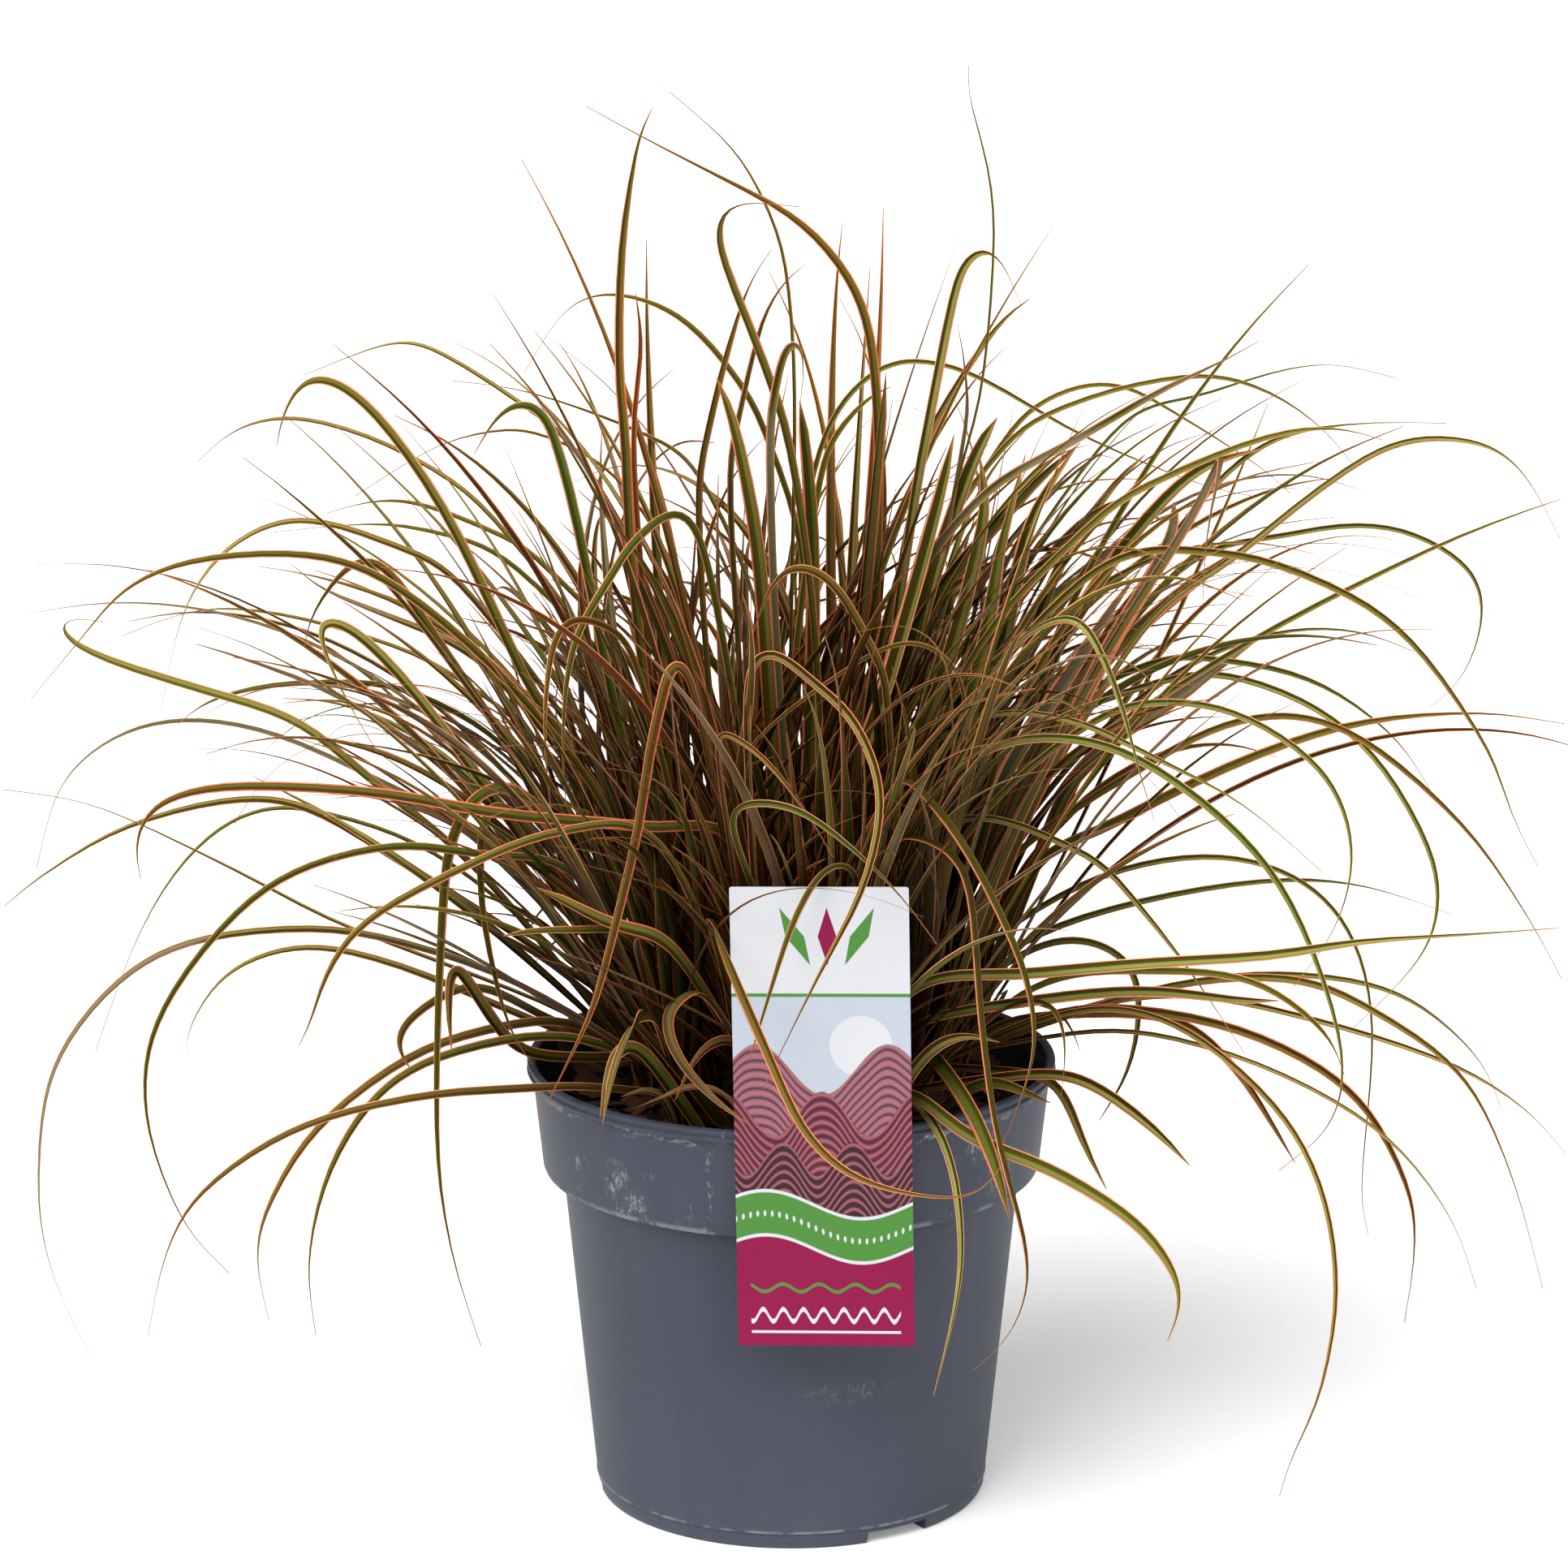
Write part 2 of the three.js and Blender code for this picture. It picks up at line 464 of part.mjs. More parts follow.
// Slides a point seen on the upright plane through the axis along the line of sight to depth y.
function slide(x, z, y) {
  return [x * (1 + y / EYE_DISTANCE), y, z - (y * (EYE_HEIGHT - z)) / EYE_DISTANCE];
}

// The width of a blade at a share of its length.
function bladeWidth(width, share) {
  const swell = ROOT_WIDTH_SHARE + (1 - ROOT_WIDTH_SHARE) * Math.min(1, share / FULL_WIDTH_AT);
  return Math.max(LEAST_WIDTH, width * swell * (1 - share * share * share));
}

// A point on a smooth curve through the given points, at a share of their number.
function along(points, share) {
  const last = points.length - 1;
  const place = Math.min(share * last, last - 1e-9);
  const i = Math.floor(place);
  const t = place - i;
  const [a, b] = [points[Math.max(0, i - 1)], points[i]];
  const [c, d] = [points[i + 1], points[Math.min(last, i + 2)]];
  return [0, 1, 2].map((k) => 0.5 * (2 * b[k] + (c[k] - a[k]) * t
    + (2 * a[k] - 5 * b[k] + 4 * c[k] - d[k]) * t * t
    + (3 * b[k] - a[k] - 3 * c[k] + d[k]) * t * t * t));
}

// Turns a side vector about the blade's direction.
function twisted(side, direction, angle) {
  const lift = cross(direction, side);
  return add(side.map((v) => v * Math.cos(angle)), lift, Math.sin(angle));
}

// A traced blade from a tuft, with its tip at the given depth.
function tracedBlade(entry, tuft, tipDepth, order) {
  const [width, , , , flat] = entry;
  const draw = new Draw(500 + order);
  const height = CORE_SHOULDER + draw.between(...TRACED_ROOT);
  const start = rootPoint(tuft, height, Math.atan2(-tuft.y, flat[0] - tuft.x));
  const seen = [];
  for (let i = 0; i < flat.length; i += 2) {
    seen.push([flat[i], flat[i + 1]]);
  }
  const steps = [0];
  let before = [start[0], start[2]];
  for (const point of seen) {
    const [dx, dz] = [point[0] - before[0], point[1] - before[1]];
    steps.push(steps[steps.length - 1] + Math.sqrt(dx * dx + dz * dz));
    before = point;
  }
  const total = steps[steps.length - 1];
  const points = [start, ...seen.map(([x, z], i) => {
    const share = steps[i + 1] / total;
    const forward = tipDepth < HANGING_DEPTH ? 1 - Math.pow(1 - share, HANGING_POWER) : share;
    return slide(x, z, start[1] + (tipDepth - start[1]) * forward);
  })];
  const count = Math.max(TRACED_LEAST, Math.round(total / TRACED_SPAN));
  const facing = draw.between(-TRACED_FACING, TRACED_FACING);
  const face = [Math.sin(facing), -Math.cos(facing), draw.between(0.1, 0.5)];
  const sideOf = (direction) => unit(cross(direction, face));
  return dressed(points, count, width, sideOf, [0, draw.between(-TRACED_TWIST, TRACED_TWIST)]);
}

// Rings of a blade along a curve: places, widths and side vectors, twisted from root to tip.
// So that none cross, a ring faces halfway between the steps on both its sides, and it turns from
// the ring before it only halfway to its own side.
function dressed(points, count, width, sideOf, [twist, tipTwist]) {
  const blade = [];
  const places = Array.from({ length: count + 1 }, (_, i) => along(points, i / count));
  const steps = places.slice(1).map((place, i) => unit(add(place, places[i], -1)));
  let last = null;
  for (let i = 0; i <= count; i += 1) {
    const share = i / count;
    const direction = unit(add(steps[Math.max(0, i - 1)], steps[Math.min(count - 1, i)]));
    let side = twisted(sideOf(direction), direction, twist + (tipTwist - twist) * share);
    if (last) {
      const carried = unit(add(last, direction, -dot(last, direction)));
      side = unit(add(carried, side, Math.sign(dot(side, carried)) || 1));
    }
    last = side;
    blade.push({ place: places[i], side, direction, width: bladeWidth(width, share) });
  }
  return blade;
}

// A blade drawn by rule: it leaves its core, arches over and droops.
function ruledBlade(tuft, draw) {
  const height = CORE_SHOULDER + draw.between(...RULE.height);
  const spread = RULE.turnSpread + RULE.turnSpreadInside * (1 - tuft.reach);
  const around = tuft.turn + draw.between(-spread, spread);
  const outwards = RULE.leanOutwards * tuft.reach * draw.next();
  const lean = RULE.lean + outwards + RULE.leanSpread * draw.next();
  const front = Math.max(0, -Math.sin(around));
  const droop = draw.between(...RULE.droop) * (1 - RULE.stifferInFront * front);
  const shorter = (1 - RULE.shorterInFront * front) * (1 - RULE.shorterOutside * tuft.reach);
  const step = (draw.between(...RULE.length) * shorter) / RULE.steps;
  const power = draw.between(...RULE.power);
  const curl = draw.between(-RULE.curl, RULE.curl);
  const width = draw.between(...RULE.width);
  const twist = draw.between(-RULE.twist, RULE.twist);
  const tipTwist = twist + draw.between(-RULE.tipTwist, RULE.tipTwist);
  const points = [rootPoint(tuft, height, around)];
  for (let i = 0; i < RULE.steps; i += 1) {
    const share = (i + 0.5) / RULE.steps;
    const tilt = lean + droop * Math.pow(share, power);
    const turn = around + curl * share;
    const flat = Math.sin(tilt) * step;
    const last = points[points.length - 1];
    points.push(add(last, [Math.cos(turn) * flat, Math.sin(turn) * flat, Math.cos(tilt) * step]));
  }
  const across = [Math.sin(around), -Math.cos(around), 0];
  const sideOf = (direction) => unit(add(across, direction, -dot(across, direction)));
  return dressed(points, RULE.segments, width, sideOf, [twist, tipTwist]);
}

// Least distance between two segments, and where along each it is found.
function segmentDistance(p, q, r, s) {
  const [u, v, w] = [add(q, p, -1), add(s, r, -1), add(p, r, -1)];
  const [a, b, c, d, e] = [dot(u, u), dot(u, v), dot(v, v), dot(u, w), dot(v, w)];
  const spread = a * c - b * b;
  const clamp = (x) => Math.min(1, Math.max(0, x));
  let m = spread > 1e-9 ? clamp((b * e - c * d) / spread) : 0;
  const n = clamp((b * m + e) / c);
  m = clamp((b * n - d) / a);
  const apart = add(add(w, u, m), v, -n);
  return [Math.sqrt(dot(apart, apart)), m, n];
}

// Whether a point comes within a margin of the tag or its hook.
function touchesTag([x, y, z], margin) {
  const turn = THREE.MathUtils.degToRad(TAG_TURN);
  const across = x * Math.cos(turn) + y * Math.sin(turn);
  const out = x * Math.sin(turn) - y * Math.cos(turn);
  const nearCard = Math.abs(across - TAG_CENTRE) < TAG_WIDTH / 2 + 2 + margin
    && z > TAG_BOTTOM - 2 - margin && z < TAG_BOTTOM + TAG_HEIGHT + 2 + margin
    && out > LIP_RADIUS - margin && out < LIP_RADIUS + TAG_THICKNESS + 0.5 + margin;
  const nearHook = Math.abs(across - HOOK_CENTRE) < HOOK_WIDTH / 2 + margin
    && z < POT_HEIGHT + 14 + margin && z > COMPOST_LEVEL
    && out > LIP_RADIUS - 10 - margin && out < LIP_RADIUS + margin;
  return nearCard || nearHook;
}

// The growing bunch: what stands where, so that blades of different tufts keep clear.
class Bunch {
  constructor(tufts) {
    this.tufts = tufts;
    this.segments = [];
    this.blades = tufts.map(() => []);
    for (const tuft of tufts) {
      const [foot, mid, top] = [COMPOST_LEVEL, CORE_SHOULDER, CORE_TOP].map((z) => corePoint(tuft, z));
      this.occupy(foot, mid, CORE_RADIUS, CORE_RADIUS, tuft.index, false);
      this.occupy(mid, top, CORE_RADIUS, CORE_TIP_RADIUS, tuft.index, false);
    }
  }

  // Records a stretch of a blade or core from a to b, with its radius at both ends.
  occupy(a, b, radiusA, radiusB, owner, loose) {
    const span = add(b, a, -1);
    const reach = Math.sqrt(dot(span, span)) / 2 + Math.max(radiusA, radiusB);
    this.segments.push({ a, b, radiusA, radiusB, owner, loose, middle: add(a, span, 0.5), reach });
  }

  // Whether a blade of a tuft keeps clear of the other tufts, the rim, the tag and the ground,
  // and, when it stands alone, of its own tuft's blades past their first stretch.
  fits(blade, tuft, alone) {
    for (let i = 1; i < blade.length; i += 1) {
      const [low, high] = [blade[i - 1], blade[i]];
      const half = high.width / 2;
      const clear = high.place[2] > half + 1
        && this.clearOfPot(low.place, high.place, half + 1)
        && this.clearOfTufts(low, high, tuft, alone && i > 1);
      if (!clear) {
        return false;
      }
    }
    return true;
  }

  clearOfPot(a, b, margin) {
    const span = add(b, a, -1);
    const steps = Math.ceil(Math.sqrt(dot(span, span)) / PROBE_STEP);
    for (let i = 0; i <= steps; i += 1) {
      const point = add(a, span, i / steps);
      const [x, y, z] = point;
      const r = Math.sqrt(x * x + y * y);
      if (z < POT_HEIGHT + margin && r < LIP_RADIUS + margin) {
        const inside = r < COLLAR_TOP_RADIUS - WALL - 1 - margin && z > compostHeight(x, y) + margin;
        if (!inside) {
          return false;
        }
      }
      if (touchesTag(point, margin + 1)) {
        return false;
      }
    }
    return true;
  }

  clearOfTufts(low, high, tuft, ownToo) {
    const span = add(high.place, low.place, -1);
    const middle = add(low.place, span, 0.5);
    const reach = Math.sqrt(dot(span, span)) / 2 + low.width + BLADE_CLEARANCE;
    for (const other of this.segments) {
      if (other.owner !== tuft || (ownToo && other.loose)) {
        const apart = add(middle, other.middle, -1);
        const near = reach + other.reach;
        if (dot(apart, apart) < near * near) {
          const [d, m, n] = segmentDistance(low.place, high.place, other.a, other.b);
          const mine = (low.width + (high.width - low.width) * m) / 2;
          const theirs = other.radiusA + (other.radiusB - other.radiusA) * n;
          if (d < (mine + theirs) * 0.92 + BLADE_CLEARANCE) {
            return false;
          }
        }
      }
    }
    return true;
  }

  grow(blade, tuft) {
    this.blades[tuft].push(blade);
    for (let i = 1; i < blade.length; i += 1) {
      const [low, high] = [blade[i - 1], blade[i]];
      this.occupy(low.place, high.place, low.width / 2, high.width / 2, tuft, i > 1);
    }
  }

  // Adds a traced blade on one of the tufts nearest its root, moving its tip in depth till clear.
  trace(entry, order) {
    const [, x, y, tipDepth] = entry;
    const away = (t) => (t.x - x) * (t.x - x) + (t.y - y) * (t.y - y);
    const nearest = this.tufts.slice().sort((a, b) => away(a) - away(b)).slice(0, TRACED_TUFTS);
    for (const alone of [true, false]) {
      for (let shift = 0; shift <= DEPTH_SHIFTS; shift += 1) {
        const depth = tipDepth + (shift % 2 === 0 ? DEPTH_STEP : -DEPTH_STEP) * Math.ceil(shift / 2);
        for (const tuft of nearest) {
          const blade = tracedBlade(entry, tuft, depth, order);
          if (this.fits(blade, tuft.index, alone)) {
            this.grow(blade, tuft.index);
            return true;
          }
        }
      }
    }
    return false;
  }

  // Adds blades by rule, drawing each again till it is clear.
  fill() {
    for (let round = 0; round < RULE.perTuft; round += 1) {
      for (const tuft of this.tufts) {
        const draw = new Draw(9000 + tuft.index * 97 + round * 3571);
        for (let i = 0; i < RULE.tries; i += 1) {
          const blade = ruledBlade(tuft, draw);
          if (this.fits(blade, tuft.index, i < RULE.triesAlone)) {
            this.grow(blade, tuft.index);
            break;
          }
        }
      }
    }
  }
}

// A blade as a keeled strip. The two edges stand above the keel. The diagonals of its three sides
// all run from the left edge to the right, so that a twist doesn't push one side through another.
function bladeGeometry(blade) {
  const last = blade.length - 1;
  const rings = blade.map(({ place, side, direction, width }, i) => {
    if (i === last) {
      return [place];
    }
    const lift = cross(side, direction);
    const edge = add(place, lift, (1 - KEEL_SHARE) * BLADE_THICKNESS);
    return [
      add(edge, side, -width / 2),
      add(edge, side, width / 2),
      add(place, lift, -KEEL_SHARE * BLADE_THICKNESS),
    ];
  });
  return loft(rings, [false, true, true]);
}

function coreGeometry(tuft) {
  const heights = [
    [CORE_SHOULDER, CORE_RADIUS],
    [CORE_WAIST, CORE_WAIST_RADIUS],
    [CORE_TOP, CORE_TIP_RADIUS],
  ];
  return loft([
    ring(CORE_SIDES, CORE_RADIUS, tuft.x, tuft.y, CORE_FOOT),
    ...heights.map(([z, radius]) => ring(CORE_SIDES, radius, ...corePoint(tuft, z))),
  ]);
}

// The largest closed shell of a solid, without any hollow that crossing blades shut in.
function outerShell(body) {
  const parts = body.decompose();
  parts.sort((a, b) => b.volume() - a.volume());
  return parts[0];
}

function makeTuft(tuft, blades) {
  const bodies = [solid(coreGeometry(tuft)), ...blades.map((blade) => solid(bladeGeometry(blade)))];
  return outerShell(wasm.Manifold.union(bodies).simplify(SMOOTHING));
}

function makeTag() {
  const card = new THREE.Shape();
  const [w, h, c] = [TAG_WIDTH / 2, TAG_HEIGHT, TAG_CORNER];
  card.moveTo(-w + c, 0);
  card.lineTo(w - c, 0);
  card.quadraticCurveTo(w, 0, w, c);
  card.lineTo(w, h - c);
  card.quadraticCurveTo(w, h, w - c, h);
  card.lineTo(-w + c, h);
  card.quadraticCurveTo(-w, h, -w, h - c);
  card.lineTo(-w, c);
  card.quadraticCurveTo(-w, 0, -w + c, 0);
  const flat = { depth: TAG_THICKNESS, bevelEnabled: false, curveSegments: 3 };
  const panel = new THREE.ExtrudeGeometry(card, flat);
  panel.rotateX(Math.PI / 2).rotateY(THREE.MathUtils.degToRad(TAG_TILT));
  panel.translate(TAG_CENTRE, -LIP_RADIUS - GAP, TAG_BOTTOM);
  // The hook is a bent strip, drawn as seen from the side, that starts inside the card.
  const face = -LIP_RADIUS - GAP - TAG_THICKNESS / 2;
  const inside = -LIP_RADIUS + 8.6;
  const over = POT_HEIGHT + GAP;
  const strip = new THREE.Shape();
  strip.moveTo(face, over + 12);
  strip.lineTo(face, over + 6);
  strip.lineTo(inside - TAG_THICKNESS, over);
  strip.lineTo(inside - TAG_THICKNESS, over - HOOK_REACH);
  strip.lineTo(inside, over - HOOK_REACH);
  strip.lineTo(inside, over + 1);
  strip.closePath();
  const hook = new THREE.ExtrudeGeometry(strip, { depth: HOOK_WIDTH, bevelEnabled: false });
  hook.rotateX(Math.PI / 2).rotateZ(Math.PI / 2);
  hook.translate(HOOK_CENTRE - HOOK_WIDTH / 2, 0, 0);
  const turn = THREE.MathUtils.degToRad(TAG_TURN);
  return solid(panel.rotateZ(turn)).add(solid(hook.rotateZ(turn)));
}

function piece(name, body, colour, roughness) {
  const material = new THREE.MeshStandardMaterial({ color: colour, roughness, metalness: 0 });
  const mesh = new THREE.Mesh(surface(body), material);
  mesh.name = name;
  return mesh;
}

const tufts = layTufts();
const bunch = new Bunch(tufts);
TRACED.forEach((entry, order) => bunch.trace(entry, order));
bunch.fill();

const plant = new THREE.Group();
plant.add(piece('pot', makePot(), POT_COLOUR, 0.5));
plant.add(piece('compost', makeCompost(tufts), COMPOST_COLOUR, 0.95));
for (const tuft of tufts) {
  const name = `tuft_${String(tuft.index + 1).padStart(2, '0')}`;
  const colour = TUFT_COLOURS[tuft.index % TUFT_COLOURS.length];
  plant.add(piece(name, makeTuft(tuft, bunch.blades[tuft.index]), colour, 0.45));
}
plant.add(piece('plant_tag', makeTag(), TAG_COLOUR, 0.4));

export default plant;
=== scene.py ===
"""A red hook sedge in a nursery pot, dressed for a studio picture.

The leaves follow the same rule and the same traced courses as the solids, with more steps, a
channelled section and coloured margins. Lengths in the growth rule are millimetres, and every
mesh is made in metres. The front is -Y, and the origin is on the ground at the pot's axis.
"""
import logging
import math
from dataclasses import dataclass, field
from enum import Enum
from typing import Any, Callable, Iterable, Optional, Sequence, Union

import bmesh
import bpy
import numpy as np
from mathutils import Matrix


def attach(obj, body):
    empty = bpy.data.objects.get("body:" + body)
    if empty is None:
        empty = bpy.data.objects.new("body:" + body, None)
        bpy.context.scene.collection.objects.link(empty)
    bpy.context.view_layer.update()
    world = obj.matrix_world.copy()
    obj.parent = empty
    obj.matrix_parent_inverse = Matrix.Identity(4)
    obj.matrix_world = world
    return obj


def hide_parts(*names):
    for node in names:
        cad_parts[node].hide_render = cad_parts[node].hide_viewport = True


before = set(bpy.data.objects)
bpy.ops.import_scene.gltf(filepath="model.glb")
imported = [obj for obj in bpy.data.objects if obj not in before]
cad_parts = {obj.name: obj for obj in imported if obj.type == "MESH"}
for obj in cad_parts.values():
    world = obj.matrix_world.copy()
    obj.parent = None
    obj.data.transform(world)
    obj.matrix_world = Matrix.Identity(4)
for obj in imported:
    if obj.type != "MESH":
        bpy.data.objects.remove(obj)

log = logging.getLogger("sedge")

MM = 0.001
PHOTO_WIDTH = 1932
GOLDEN_ANGLE = 2.399963
COMPOST_LEVEL = 144
CORE_SHOULDER = 152
CORE_TOP = 182

Colour = tuple[float, float, float]
Array = np.ndarray
Number = Union[float, Array]
Faces = list[list[int]]
Course = tuple[float, float, float, float, list[float]]

